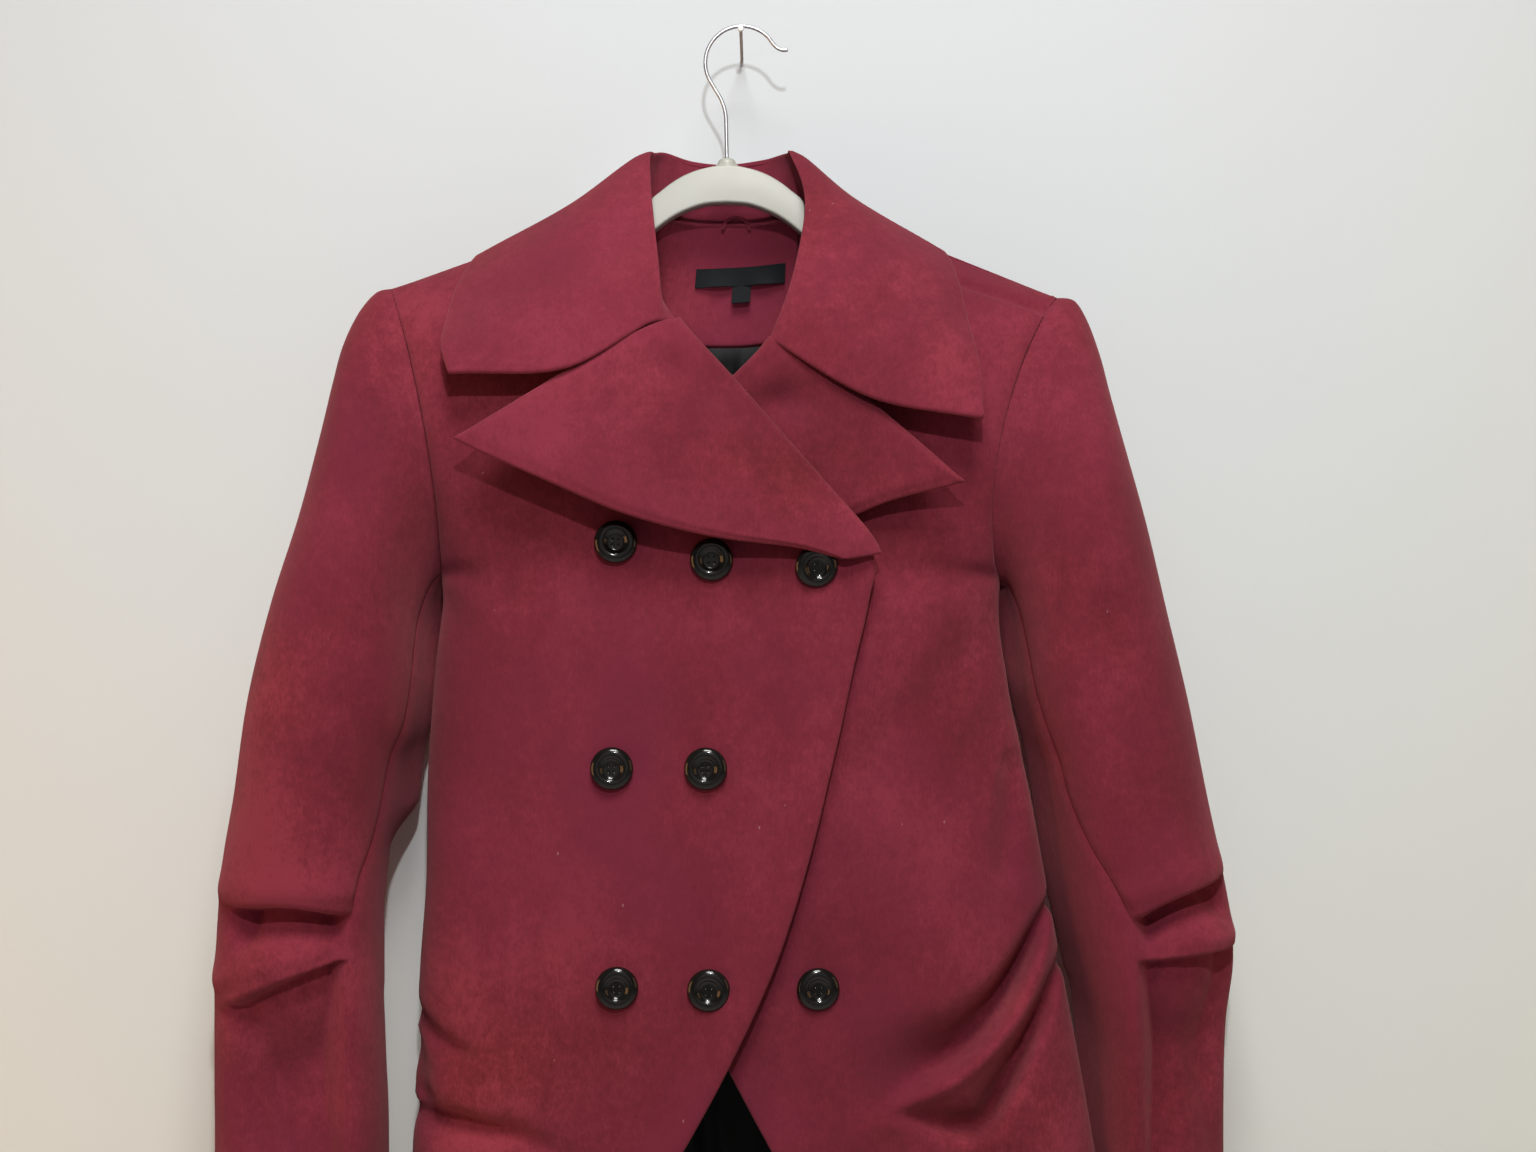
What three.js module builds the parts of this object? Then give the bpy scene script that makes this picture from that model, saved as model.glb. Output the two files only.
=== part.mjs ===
// Double-breasted wool coat on a hanger, hung by its wire hook from a nail in a wall.
// Millimetres, +Z up. The wall is the plane y = 0 and the coat hangs in front of it, at negative y.
// The origin is where the nail enters the wall; +X is to the right of someone facing the coat.
// "Right" and "left" in names are the wearer's, so the wearer's right is at negative x.

import * as THREE from 'three';

// ---- driving dimensions ----
const WOOL = 2.6;              // thickness of the melton cloth
const SATIN = 0.8;             // thickness of the lining
const SEAM = 0.35;             // gap between neighbouring pieces
const CURVED_SEAM = 1.5;       // gap where two pieces' facets follow one curve in different steps
const TIGHT_SEAM = 1.9;        // the same round an armhole and along the lapel's roll
const HALF_PI = Math.PI / 2;

const HEM_Z = -720;            // lowest edge of the fronts and back
const CUFF_Z = -735;           // lowest edge of the sleeves
const BACK_Y = -8;             // outer face of the back, just off the wall
const SIDE_Y = -48;            // the side seams, armholes and shoulder seams, over the hanger's arms

const BUTTON = { radius: 11.3, rim: 4.0, rimWidth: 2.4, dish: 1.5, edge: 1.0 };
const HANGER = { y: -44, depth: 11, wire: 1.3 };
const NAIL = { radius: 0.9, length: 48, headRadius: 1.7, headLength: 1.4, slope: 5.6 };
const HOOK = { x: 0.6, z: -13.6, radius: 20.5 };

const WOOL_LOOK = { color: 0x7d2b39, roughness: 0.95, metalness: 0 };
const SATIN_LOOK = { color: 0x15161a, roughness: 0.35, metalness: 0 };
const BUTTON_LOOK = { color: 0x17120f, roughness: 0.18, metalness: 0 };
const LABEL_LOOK = { color: 0x1c1f22, roughness: 0.7, metalness: 0 };
const HANGER_LOOK = { color: 0xd9d8cd, roughness: 0.4, metalness: 0 };
const METAL_LOOK = { color: 0xb9bbbd, roughness: 0.22, metalness: 1 };

const coat = new THREE.Group();

function addMesh(name, geometry, look) {
  const mesh = new THREE.Mesh(geometry, new THREE.MeshStandardMaterial(look));
  mesh.name = name;
  coat.add(mesh);
  return mesh;
}

// ---- tables and smooth sections ----

// Rows of numbers with a name for each column.
function table(names, rows) {
  return rows.map((row) => Object.fromEntries(names.map((name, i) => [name, row[i]])));
}

// The table's columns at a place t from 0 (first row) to 1 (last row), smoothly curved.
function between(rows, t) {
  const last = rows.length - 1;
  const k = Math.min(Math.floor(t * last), last - 1);
  const f = t * last - k;
  const row = (i) => rows[Math.min(Math.max(i, 0), last)];
  const out = {};
  for (const name of Object.keys(rows[0])) {
    const [a, b, c, d] = [row(k - 1)[name], row(k)[name], row(k + 1)[name], row(k + 2)[name]];
    out[name] = b + 0.5 * f * (c - a + f * (2 * a - 5 * b + 4 * c - d + f * (3 * (b - c) + d - a)));
  }
  return out;
}

function smooth(low, high, value) {
  const t = Math.min(Math.max((value - low) / (high - low), 0), 1);
  return t * t * (3 - 2 * t);
}

// Even steps from 0 to 1.
function steps(count) {
  return Array.from({ length: count + 1 }, (_, i) => i / count);
}

// A step at every row of a table, and parts more of them between two of its rows.
function rowSteps(rows, from, to, parts) {
  const all = rows.map((_, i) => i);
  for (let i = from; i < to; i++) {
    for (let k = 1; k < parts; k++) all.push(i + k / parts);
  }
  return all.sort((a, b) => a - b).map((i) => i / (rows.length - 1));
}

// A grid of points from a function of (u, v), both 0 to 1, a row of points for each v.
function gridOf(us, vs, point) {
  return vs.map((v) => us.map((u) => point(u, v)));
}

// Unit normals of a grid; side is 1 or -1 and says which face is outside.
function normalsOf(grid, side) {
  const [rows, columns] = [grid.length - 1, grid[0].length - 1];
  return grid.map((line, j) => line.map((_, i) => {
    const along = new THREE.Vector3().subVectors(line[Math.min(i + 1, columns)], line[Math.max(i - 1, 0)]);
    const up = new THREE.Vector3().subVectors(
      grid[Math.min(j + 1, rows)][i], grid[Math.max(j - 1, 0)][i]);
    return new THREE.Vector3().crossVectors(along, up).normalize().multiplyScalar(side);
  }));
}

// Each point moved along its outward normal by a distance.
function moved(grid, side, distance) {
  const normals = normalsOf(grid, side);
  return grid.map((line, j) => line.map((point, i) => (
    point.clone().addScaledVector(normals[j][i], distance))));
}

// Where a piece ends on a seam its rim is cut square across, in the plane of constant y.
function squareRims(grid, inner) {
  const [rows, columns] = [grid.length - 1, grid[0].length - 1];
  grid.forEach((line, j) => line.forEach((point, i) => {
    const rim = j === 0 || j === rows || i === 0 || i === columns;
    const across = Math.abs(inner[j][i].y - point.y) / inner[j][i].distanceTo(point);
    if (rim && across < 0.8) inner[j][i].y = point.y;
  }));
}

// A closed wall: the grid is its outer face, a copy moved inward its inner face, with rims between.
function wall(grid, thickness, side) {
  const inner = moved(grid, side, -thickness);
  squareRims(grid, inner);
  const [rows, columns] = [grid.length - 1, grid[0].length - 1];
  const width = columns + 1;
  const layer = width * (rows + 1);
  const points = [...grid.flat(), ...inner.flat()];
  const index = [];
  const quad = (a, b, c, d) => (side > 0 ? index.push(a, b, c, a, c, d) : index.push(a, c, b, a, d, c));
  for (let j = 0; j < rows; j++) {
    for (let i = 0; i < columns; i++) {
      const a = j * width + i;
      quad(a, a + 1, a + width + 1, a + width);
      quad(layer + a, layer + a + width, layer + a + width + 1, layer + a + 1);
    }
  }
  for (let i = 0; i < columns; i++) {
    const top = rows * width + i;
    quad(i, layer + i, layer + i + 1, i + 1);
    quad(top, top + 1, layer + top + 1, layer + top);
  }
  for (let j = 0; j < rows; j++) {
    const [a, b] = [j * width, j * width + columns];
    quad(a, a + width, layer + a + width, layer + a);
    quad(b, layer + b, layer + b + width, b + width);
  }
  const geometry = new THREE.BufferGeometry();
  geometry.setFromPoints(points);
  geometry.setIndex(index);
  return geometry;
}

// ---- folds ----

// Soft troughs seen from the front, each a line from (x1, z1) to (x2, z2).
const FOLD_COLUMNS = ['x1', 'z1', 'x2', 'z2', 'width', 'depth'];
const BODY_FOLDS = table(FOLD_COLUMNS, [
  [176, -486, 150, -516, 9, 9],       // left waist, upper tuck, out of the side seam
  [150, -516, 104, -533, 12, 7],      // the same tuck, running flatter to the front
  [181, -524, 156, -576, 9, 10],      // left waist, lower tuck
  [156, -576, 100, -600, 13, 8],      // the same tuck, towards the front
  [-182, -539, -146, -557, 7, 6],     // right waist, upper crease
  [-184, -590, -136, -600, 8, 8],     // right waist, lower crease
  [-136, -600, -96, -611, 9, 5],      // the same crease, towards the front
  [138, -332, 76, -394, 26, 5],       // drag line from the left armpit to the front edge
]);
const SLEEVE_FOLDS = table(FOLD_COLUMNS, [
  [-282, -474, -202, -483, 7, 8],     // right sleeve, upper elbow tuck
  [-284, -532, -203, -512, 10, 10],   // right sleeve, lower elbow tuck
  [262, -468, 204, -488, 7, 8],       // left sleeve, upper elbow tuck
  [270, -507, 206, -514, 10, 10],     // left sleeve, lower elbow tuck
]);

// Depth of the troughs at a point: a bell across each line, fading past its ends.
function foldDepth(folds, point) {
  let depth = 0;
  for (const fold of folds) {
    const [dx, dz] = [fold.x2 - fold.x1, fold.z2 - fold.z1];
    const length = Math.hypot(dx, dz);
    const along = ((point.x - fold.x1) * dx + (point.z - fold.z1) * dz) / length;
    const across = ((point.x - fold.x1) * dz - (point.z - fold.z1) * dx) / length;
    const past = Math.max(-along, along - length, 0);
    depth += fold.depth * Math.exp(-(across ** 2 + past ** 2) / fold.width ** 2);
  }
  return depth;
}

// The body's troughs push its front back and nip its sides in.
function foldBody(point) {
  const depth = foldDepth(BODY_FOLDS, point);
  const nip = 0.45 * Math.exp(-(((point.y - SIDE_Y) / 25) ** 2));
  point.x -= Math.sign(point.x) * depth * nip;
  point.y += depth * smooth(SIDE_Y, -85, point.y);
  return point;
}

// ---- armholes ----

// Each armhole is a closed loop from the armpit up over the shoulder point.
// hollow draws its front and back edges towards the neck.
const ARMHOLE = {
  right: { topX: -195, topZ: -141, lowX: -166, lowZ: -302, half: 34, hollow: 10 },
  left: { topX: 177, topZ: -146, lowX: 144.5, lowZ: -303, half: 34, hollow: -19 },
};

// climb is 0 at the armpit and 1 at the shoulder point; face is -1 on the front and 1 on the back.
function armholePoint(arm, climb, face) {
  const turn = Math.PI * (1 - climb);
  const reach = Math.sin(turn);
  const high = (1 + Math.cos(turn)) / 2;
  return new THREE.Vector3(
    arm.lowX + (arm.topX - arm.lowX) * high + arm.hollow * reach ** 1.5,
    SIDE_Y + face * arm.half * reach,
    arm.lowZ + (arm.topZ - arm.lowZ) * high);
}

// ---- fronts ----

// Each row runs from the front edge round to the side seam. round is the fullness of its curve
// and bow how far its middle stands forward. Rows up to the break of the lapel:
const BELOW_BREAK = ['edgeX', 'edgeY', 'edgeZ', 'sideX', 'sideZ', 'round', 'bow'];
const RIGHT_BELOW = table(BELOW_BREAK, [
  [-138, -97, -717, -184, HEM_Z, 3.0, 0],
  [-103, -98, -699, -184, -702, 3.0, 0],
  [-76, -99, -672, -183, -675, 3.0, 0],
  [-53, -100, -640, -182, -643, 3.0, 1],
  [-31.5, -101, -605, -181, -608, 3.0, 1],
  [-7, -102, -560, -180, -565, 3.0, 1],
  [16, -102, -510, -177, -512, 3.0, 1],
  [32, -102, -462, -173.5, -465, 3.2, 1],
  [47.5, -102, -403, -173, -412, 3.2, 1],
  [58, -102, -355, -169.5, -362, 3.2, 1],
  [67, -102.5, -315, -165.5, -320, 3.2, 1],
]);
const LEFT_BELOW = table(BELOW_BREAK, [
  [124, -93, -717, 203, HEM_Z, 3.0, 0],
  [87, -94, -699, 202.5, -702, 3.0, 0],
  [60, -95, -672, 201.5, -675, 3.0, 0],
  [38, -96, -640, 200, -643, 3.0, 0],
  [17, -96, -605, 194.5, -608, 3.0, 0],
  [-7, -95.5, -560, 187, -565, 3.0, 1],
  [-30, -95, -510, 177, -512, 3.0, 2],
  [-46, -94, -462, 168.5, -465, 3.0, 3],
  [-61.5, -93, -403, 159, -412, 3.1, 4],
  [-72, -92, -355, 149, -362, 3.2, 5],
  [-81, -90, -315, 144.5, -320, 3.2, 5],
]);

// Rows above the break: the edge follows the roll line to the gorge, then the neck seam to the
// shoulder, and the side follows the front of the armhole.
const ABOVE_BREAK = ['edgeX', 'edgeY', 'edgeZ', 'climb', 'round', 'bow'];
const RIGHT_ABOVE = table(ABOVE_BREAK, [
  [69, -103, -289, 0, 3.0, 1],
  [44, -102, -258, 0.17, 2.6, 1],
  [18, -100, -228, 0.34, 2.4, 1],
  [-9, -98, -197, 0.5, 2.3, 1],
  [-36, -97, -167, 0.66, 1.9, -3],
  [-50, -86, -141, 0.8, 1.6, -5],
  [-60, -69, -117, 0.92, 1.5, -4],
  [-64, -49, -97, 1, 1.6, 0],
]);
const LEFT_ABOVE = table(ABOVE_BREAK, [
  [-83, -86, -289, 0, 3.0, 4],
  [-57, -86, -260, 0.17, 2.6, 3],
  [-31, -86.5, -231, 0.34, 2.4, 2],
  [-5, -88.5, -203, 0.5, 2.3, 1],
  [20, -93, -177, 0.66, 1.9, -3],
  [32, -84, -148, 0.8, 1.6, -5],
  [40, -68, -120, 0.92, 1.5, -4],
  [44, -49, -97, 1, 1.6, 0],
]);

// The two tables joined in one, the upper rows' sides taken from the armhole.
function frontRows(below, above, arm) {
  const inward = Math.sign(arm.hollow) * TIGHT_SEAM;
  const lower = below.map((row) => ({ ...row, sideY: SIDE_Y - SEAM }));
  const upper = above.map(({ climb, ...row }) => {
    const side = armholePoint(arm, climb, -1);
    return { ...row, sideX: side.x + inward, sideZ: side.z, sideY: side.y - SEAM };
  });
  return [...lower, ...upper];
}

const RIGHT_ROWS = frontRows(RIGHT_BELOW, RIGHT_ABOVE, ARMHOLE.right);
const LEFT_ROWS = frontRows(LEFT_BELOW, LEFT_ABOVE, ARMHOLE.left);
const FRONT_SPANS = RIGHT_ROWS.length - 1;
const BREAK = RIGHT_BELOW.length / FRONT_SPANS;          // v of the break of the lapel
const GORGE = (RIGHT_BELOW.length + 4) / FRONT_SPANS;    // v of the gorge, where collar meets lapel

function frontPoint(rows, u, v) {
  const row = between(rows, v);
  const sideY = Math.min(row.sideY, SIDE_Y - SEAM);
  const angle = HALF_PI * u ** (row.round / 2);
  const reach = Math.sin(angle) ** (2 / row.round);
  const forward = Math.max(Math.cos(angle), 0) ** (2 / row.round);
  return foldBody(new THREE.Vector3(
    row.edgeX + (row.sideX - row.edgeX) * reach,
    sideY + (row.edgeY - sideY) * forward - row.bow * Math.sin(Math.PI * reach),
    row.edgeZ + (row.sideZ - row.edgeZ) * reach));
}

// turn is -1 for the wearer's right front, whose rows run towards negative x, and 1 for the left.
function addFront(name, rows, turn) {
  const grid = gridOf(steps(11), rowSteps(rows, 3, 7, 3), (u, v) => frontPoint(rows, u, v));
  addMesh(name, wall(grid, WOOL, turn), WOOL_LOOK);
  return grid;
}

const rightFront = addFront('front_right', RIGHT_ROWS, -1);
const leftFront = addFront('front_left', LEFT_ROWS, 1);

// ---- lapels ----

// A lapel turns round the front's edge at the roll line and lies over the front, as far as its own
// edge. Rows run from the break to the gorge; swell is how far its middle stands forward.
const LAPEL_COLUMNS = ['x', 'y', 'z', 'swell'];
const RIGHT_LAPEL = table(LAPEL_COLUMNS, [
  [54, -113, -292, 0],
  [30, -119, -285.5, 1],
  [-14.6, -125, -279.3, 2],
  [-58.8, -128, -267.6, 2],
  [-98, -128, -250.9, 2],
  [-131.4, -125, -236.1, 2],
  [-146.2, -123, -228.8, 2],
]);
const LEFT_LAPEL = table(LAPEL_COLUMNS, [
  [-66, -92.5, -293, 0],
  [-30, -93.5, -287, 0],
  [20, -95, -281, 0],
  [56, -98, -270, 0],
  [78, -103, -261, 0],
  [104, -108, -254, 0],
  [117, -110, -250.8, 1],
]);
const FOLD_RADIUS = 4;      // outer radius of the turned edge
const FOLD_PART = 0.35;     // part of a row's steps spent on the turn

function lapelPoint(frontTable, lapelTable, u, v) {
  const roll = between(frontTable, BREAK + (GORGE - BREAK) * v);
  const tip = between(lapelTable, v);
  const out = new THREE.Vector3(tip.x - roll.edgeX, 0, tip.z - roll.edgeZ).normalize();
  const turn = Math.PI * Math.min(u / FOLD_PART, 1);
  const folded = new THREE.Vector3(roll.edgeX, roll.edgeY + WOOL, roll.edgeZ);
  folded.addScaledVector(out, -TIGHT_SEAM - FOLD_RADIUS * Math.sin(turn));
  folded.y -= FOLD_RADIUS * (1 - Math.cos(turn));
  const flap = Math.max((u - FOLD_PART) / (1 - FOLD_PART), 0);
  const point = folded.lerp(new THREE.Vector3(tip.x, tip.y, tip.z), flap);
  point.y -= tip.swell * Math.sin(Math.PI * flap);
  return point;
}

function addLapel(name, frontTable, lapelTable, turn) {
  const grid = gridOf(steps(10), steps(8), (u, v) => lapelPoint(frontTable, lapelTable, u, v));
  addMesh(name, wall(grid, WOOL, turn), WOOL_LOOK);
}

addLapel('lapel_right', RIGHT_ROWS, RIGHT_LAPEL, -1);
addLapel('lapel_left', LEFT_ROWS, LEFT_LAPEL, 1);

// ---- back ----

// Rows up the back. climb is the armhole's, 0 up to the armpit, and shoulder how far the row has
// turned over the shoulders.
const BACK_COLUMNS = ['rightX', 'leftX', 'sideZ', 'climb', 'centreZ', 'backY', 'shoulder'];
const BACK_ROWS = table(BACK_COLUMNS, [
  [-184, 203, HEM_Z, 0, HEM_Z, -9, 0],
  [-184, 202.5, -702, 0, -702, -8.5, 0],
  [-183, 201.5, -675, 0, -675, -8, 0],
  [-182, 200, -643, 0, -643, -8, 0],
  [-181, 194.5, -608, 0, -608, -8, 0],
  [-180, 187, -565, 0, -565, -8, 0],
  [-177, 177, -512, 0, -512, -9, 0],
  [-173.5, 168.5, -465, 0, -465, -9, 0],
  [-173, 159, -412, 0, -412, -9, 0],
  [-169.5, 149, -362, 0, -362, -8, 0],
  [-165.5, 144.5, -320, 0, -320, BACK_Y, 0],
  [0, 0, 0, 0, -302, BACK_Y, 0],
  [0, 0, 0, 0.2, -262, BACK_Y, 0],
  [0, 0, 0, 0.4, -222, BACK_Y, 0],
  [0, 0, 0, 0.6, -184, -8.5, 0.04],
  [0, 0, 0, 0.78, -148, -10, 0.22],
  [0, 0, 0, 0.9, -122, -12, 0.6],
  [0, 0, 0, 1, -99, -14, 1],
]);
const ARMPIT_ROW = 11;
const NECK = 0.34;                       // half the neck's width as a part of half the back
const NECK_POINT = { y: -47, z: -97 };   // where the shoulder seam meets the neck

const BACK_LINES = BACK_ROWS.map((row, i) => {
  const seam = i < ARMPIT_ROW;
  const side = (x, arm) => (
    seam ? new THREE.Vector3(x, SIDE_Y, row.sideZ) : armholePoint(arm, row.climb, 1));
  const right = side(row.rightX, ARMHOLE.right);
  const left = side(row.leftX, ARMHOLE.left);
  const inward = seam ? 0 : TIGHT_SEAM;
  return {
    rightX: right.x + inward, rightY: right.y + SEAM, rightZ: right.z,
    leftX: left.x - inward, leftY: left.y + SEAM, leftZ: left.z,
    centreZ: row.centreZ, backY: row.backY, shoulder: row.shoulder,
  };
});

// across runs from -1 at the wearer's right side to 1 at the left.
function backPoint(across, v) {
  const row = between(BACK_LINES, v);
  const part = Math.abs(across);
  const [sideX, sideY, sideZ] = across < 0
    ? [row.rightX, row.rightY, row.rightZ]
    : [row.leftX, row.leftY, row.leftZ];
  const middle = (row.rightX + row.leftX) / 2;
  const rise = row.shoulder * smooth(0, NECK, part) ** 1.6;
  const ridgeY = row.backY + rise * (NECK_POINT.y - row.backY);
  const ridgeZ = row.centreZ + rise * (NECK_POINT.z - row.centreZ);
  const outward = Math.max((part - NECK) / (1 - NECK), 0);
  const fall = row.shoulder * outward + (1 - row.shoulder) * part ** 2;
  return foldBody(new THREE.Vector3(
    middle + (sideX - middle) * part,
    Math.max(sideY, SIDE_Y + SEAM) + (ridgeY - sideY) * (1 - part ** 4) ** 0.25,
    ridgeZ + (sideZ - ridgeZ) * fall));
}

// Closer together round the neck and where the back turns forward at the sides.
const HALF_COLUMNS = [0, 0.11, 0.22, NECK, 0.55, 0.76, 0.92, 1];
const BACK_COLUMNS_ACROSS = [...HALF_COLUMNS.slice(1).reverse().map((part) => -part), ...HALF_COLUMNS];
const backGrid = gridOf(BACK_COLUMNS_ACROSS, rowSteps(BACK_ROWS, 4, 7, 2), backPoint);
addMesh('back', wall(backGrid, WOOL, -1), WOOL_LOOK);

// ---- inside of the back ----

// v of the row that crosses the centre of the back at a height.
function backRowAt(z) {
  let [low, high] = [0, 1];
  for (let i = 0; i < 20; i++) {
    const middle = (low + high) / 2;
    if (backPoint(0, middle).z < z) low = middle;
    else high = middle;
  }
  return low;
}

// A piece lying inside the back, a distance in from its outer face. sides are two places across
// the back and heights two heights up its middle.
function addInside(name, { sides, heights }, counts, depth, thickness, look) {
  const [low, high] = heights.map(backRowAt);
  const onBack = gridOf(steps(counts[0]), steps(counts[1]), (u, v) => (
    backPoint(sides[0] + (sides[1] - sides[0]) * u, low + (high - low) * v)));
  addMesh(name, wall(moved(onBack, -1, -depth), thickness, -1), look);
}

const FACING = { sides: [-0.22, 0.22], heights: [-167.5, -101.5] };
const LINING = { sides: [-0.75, 0.75], heights: [-708, -170.5] };
const LABEL = { sides: [-0.095, 0.21], heights: [-135, -124.5] };
const SIZE_TAB = { sides: [0.033, 0.096], heights: [-143.5, -135.6] };
const TAPE = 0.5;                                         // thickness of the label and tab
const FACING_DEPTH = WOOL + CURVED_SEAM;                  // the facing and lining lie on the back
const LABEL_DEPTH = FACING_DEPTH + WOOL + CURVED_SEAM;    // the label lies on the facing

addInside('back_neck_facing', FACING, [4, 6], FACING_DEPTH, WOOL, WOOL_LOOK);
addInside('back_lining', LINING, [6, 8], FACING_DEPTH, SATIN, SATIN_LOOK);
addInside('label', LABEL, [4, 2], LABEL_DEPTH, TAPE, LABEL_LOOK);
addInside('size_tab', SIZE_TAB, [2, 2], LABEL_DEPTH, TAPE, LABEL_LOOK);

// The cord by which the coat can hang without a hanger: a low arch over the facing's top.
const LOOP = { middle: -3, half: 8, low: -104, high: -96.5, y: -24.3, radius: 0.9 };

function loopPath() {
  const { middle, half, low, high, y } = LOOP;
  const shoulder = (low + 2 * high) / 3;
  const points = [
    [middle - half, low], [middle - 0.7 * half, shoulder], [middle, high],
    [middle + 0.7 * half, shoulder], [middle + half, low],
  ];
  return new THREE.CatmullRomCurve3(points.map(([x, z]) => new THREE.Vector3(x, y, z)));
}

const cordSection = new THREE.Shape().absarc(0, 0, LOOP.radius, 0, 2 * Math.PI);
const cordOptions = { steps: 24, extrudePath: loopPath(), curveSegments: 4 };
addMesh('hanging_loop', new THREE.ExtrudeGeometry(cordSection, cordOptions), WOOL_LOOK);

// ---- collar ----

// Sections round the neck from the wearer's right end to the left. n is the neck seam, r the crest
// of the roll, g the middle of the fall and e its outer edge.
const COLLAR = table(['nx', 'ny', 'nz', 'rx', 'ry', 'rz', 'gx', 'gy', 'gz', 'ex', 'ey', 'ez'], [
  [-34.5, -93.5, -164.5, -40.5, -99, -164, -90.9, -117, -190.6, -151.3, -115, -192.8],
  [-50, -85, -137, -43, -92, -136, -98.3, -106, -160.8, -156.9, -104, -177.5],
  [-58, -72, -113, -46, -79, -113, -103, -89, -137, -157, -85, -159.8],
  [-62, -60, -99, -49, -63, -88, -100, -72, -113, -154, -70, -140],
  [-62, -46, -92, -50.5, -47, -66, -96, -48, -94, -147.5, -47, -121.5],
  [-58, -39, -91, -47.5, -38, -63, -91, -34, -93, -139, -28, -120],
  [-50, -30, -90, -42, -29, -61, -82, -21, -95, -122, -12, -131],
  [-32, -19.5, -95, -28, -18, -60.5, -46, -6.5, -101, -62, -4.4, -150],
  [-10, -17.5, -96, -9, -15, -60, -10, -4.5, -101, -11, -3.7, -154],
  [13, -19.5, -95, 12, -18, -61, 28, -6.5, -101, 42, -4.4, -150],
  [32, -30, -90, 23, -28, -61.5, 58, -21, -95, 92, -12, -131],
  [39, -39, -91, 26, -36, -62.5, 62, -34, -92, 106, -28, -118],
  [43, -46, -92, 27.5, -43, -64, 63, -47, -89.5, 114, -47, -119.5],
  [44, -59, -101, 34.5, -60, -86, 78, -70, -112, 119, -70, -139],
  [42, -70, -116, 34.5, -74, -108, 79, -87, -135, 122.5, -83, -161.7],
  [30.5, -84, -146, 27, -91, -145, 75.8, -104, -171.4, 126.8, -102, -189.2],
  [18, -90, -174, 16.5, -96, -173.5, 69.7, -112, -205.6, 127.4, -113, -216.2],
]);
const CREST = { reach: 7, lift: 2.5 };      // shape of the roll on either side of its crest
const COLLAR_STEPS = [0, 1, 1.5, 2, 2.5, 3, 3.5, 4, 4.5, 5];

function collarLine(v) {
  const s = between(COLLAR, v);
  const neck = new THREE.Vector3(s.nx, s.ny, s.nz);
  const crest = new THREE.Vector3(s.rx, s.ry, s.rz);
  const fall = new THREE.Vector3(s.gx, s.gy, s.gz);
  const edge = new THREE.Vector3(s.ex, s.ey, s.ez);
  const down = new THREE.Vector3().subVectors(neck, crest);
  const outward = new THREE.Vector3().subVectors(fall, crest).normalize();
  const lift = down.clone().addScaledVector(outward, -down.dot(outward)).normalize().negate();
  const stand = crest.clone().addScaledVector(down, Math.min(CREST.reach / down.length(), 0.5));
  const turned = crest.clone().addScaledVector(outward, CREST.reach).addScaledVector(lift, CREST.lift);
  return new THREE.CatmullRomCurve3([neck, stand, crest, turned, fall, edge], false, 'centripetal');
}

function collarGrid(rows) {
  const grid = [];
  for (let j = 0; j <= rows; j++) {
    const line = collarLine(j / rows);
    grid.push(COLLAR_STEPS.map((step) => line.getPoint(step / 5)));
  }
  return grid;
}

addMesh('collar', wall(collarGrid(32), WOOL, 1), WOOL_LOOK);

// ---- sleeves ----

// Sections down the sleeve, each a ring between its outer point and its inner point. half is its
// half depth, round its fullness, hollow the armhole's, fading, and seam the place of the front
// seam across the ring, from 1 at the outer point to -1 at the inner.
const SLEEVE_COLUMNS = ['outX', 'outZ', 'inX', 'inZ', 'y', 'half', 'round', 'hollow', 'seam'];
const RIGHT_SLEEVE = table(SLEEVE_COLUMNS, [
  [-195, -141, -167, -303, -48, 34, 2.0, 10, -0.97],
  [-203, -143.5, -170, -307, -49, 38, 2.0, 9, -0.97],
  [-212, -155, -174, -316, -50, 43, 2.1, 6, -0.97],
  [-219, -173, -177, -330, -54, 47, 2.1, 3, -0.97],
  [-223, -193, -178, -347, -57, 49, 2.2, 1, -0.97],
  [-229, -222, -179, -365, -60, 50, 2.2, 0, -0.97],
  [-240, -266, -182, -385, -61, 50, 2.3, 0, -0.97],
  [-255, -314, -188, -403, -62, 49, 2.3, 0, -0.96],
  [-268, -366, -191.5, -428, -62, 49, 2.3, 0, -0.95],
  [-276, -418, -194, -448, -62, 49, 2.3, 0, -0.92],
  [-282, -452, -196.5, -468, -62, 49, 2.3, 0, -0.84],
  [-285, -485, -198, -494, -62, 49, 2.3, 0, -0.74],
  [-286.3, -520, -198, -524, -62, 49, 2.3, 0, -0.7],
  [-286.5, -560, -197, -562, -62, 49, 2.3, 0, -0.64],
  [-286, -600, -195, -600, -62, 49, 2.3, 0, -0.6],
  [-286, -645, -194.5, -645, -62, 48, 2.3, 0, -0.58],
  [-286, -690, -194.5, -690, -62, 47, 2.3, 0, -0.56],
  [-286, CUFF_Z, -195, CUFF_Z, -62, 46, 2.3, 0, -0.55],
]);
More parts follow.
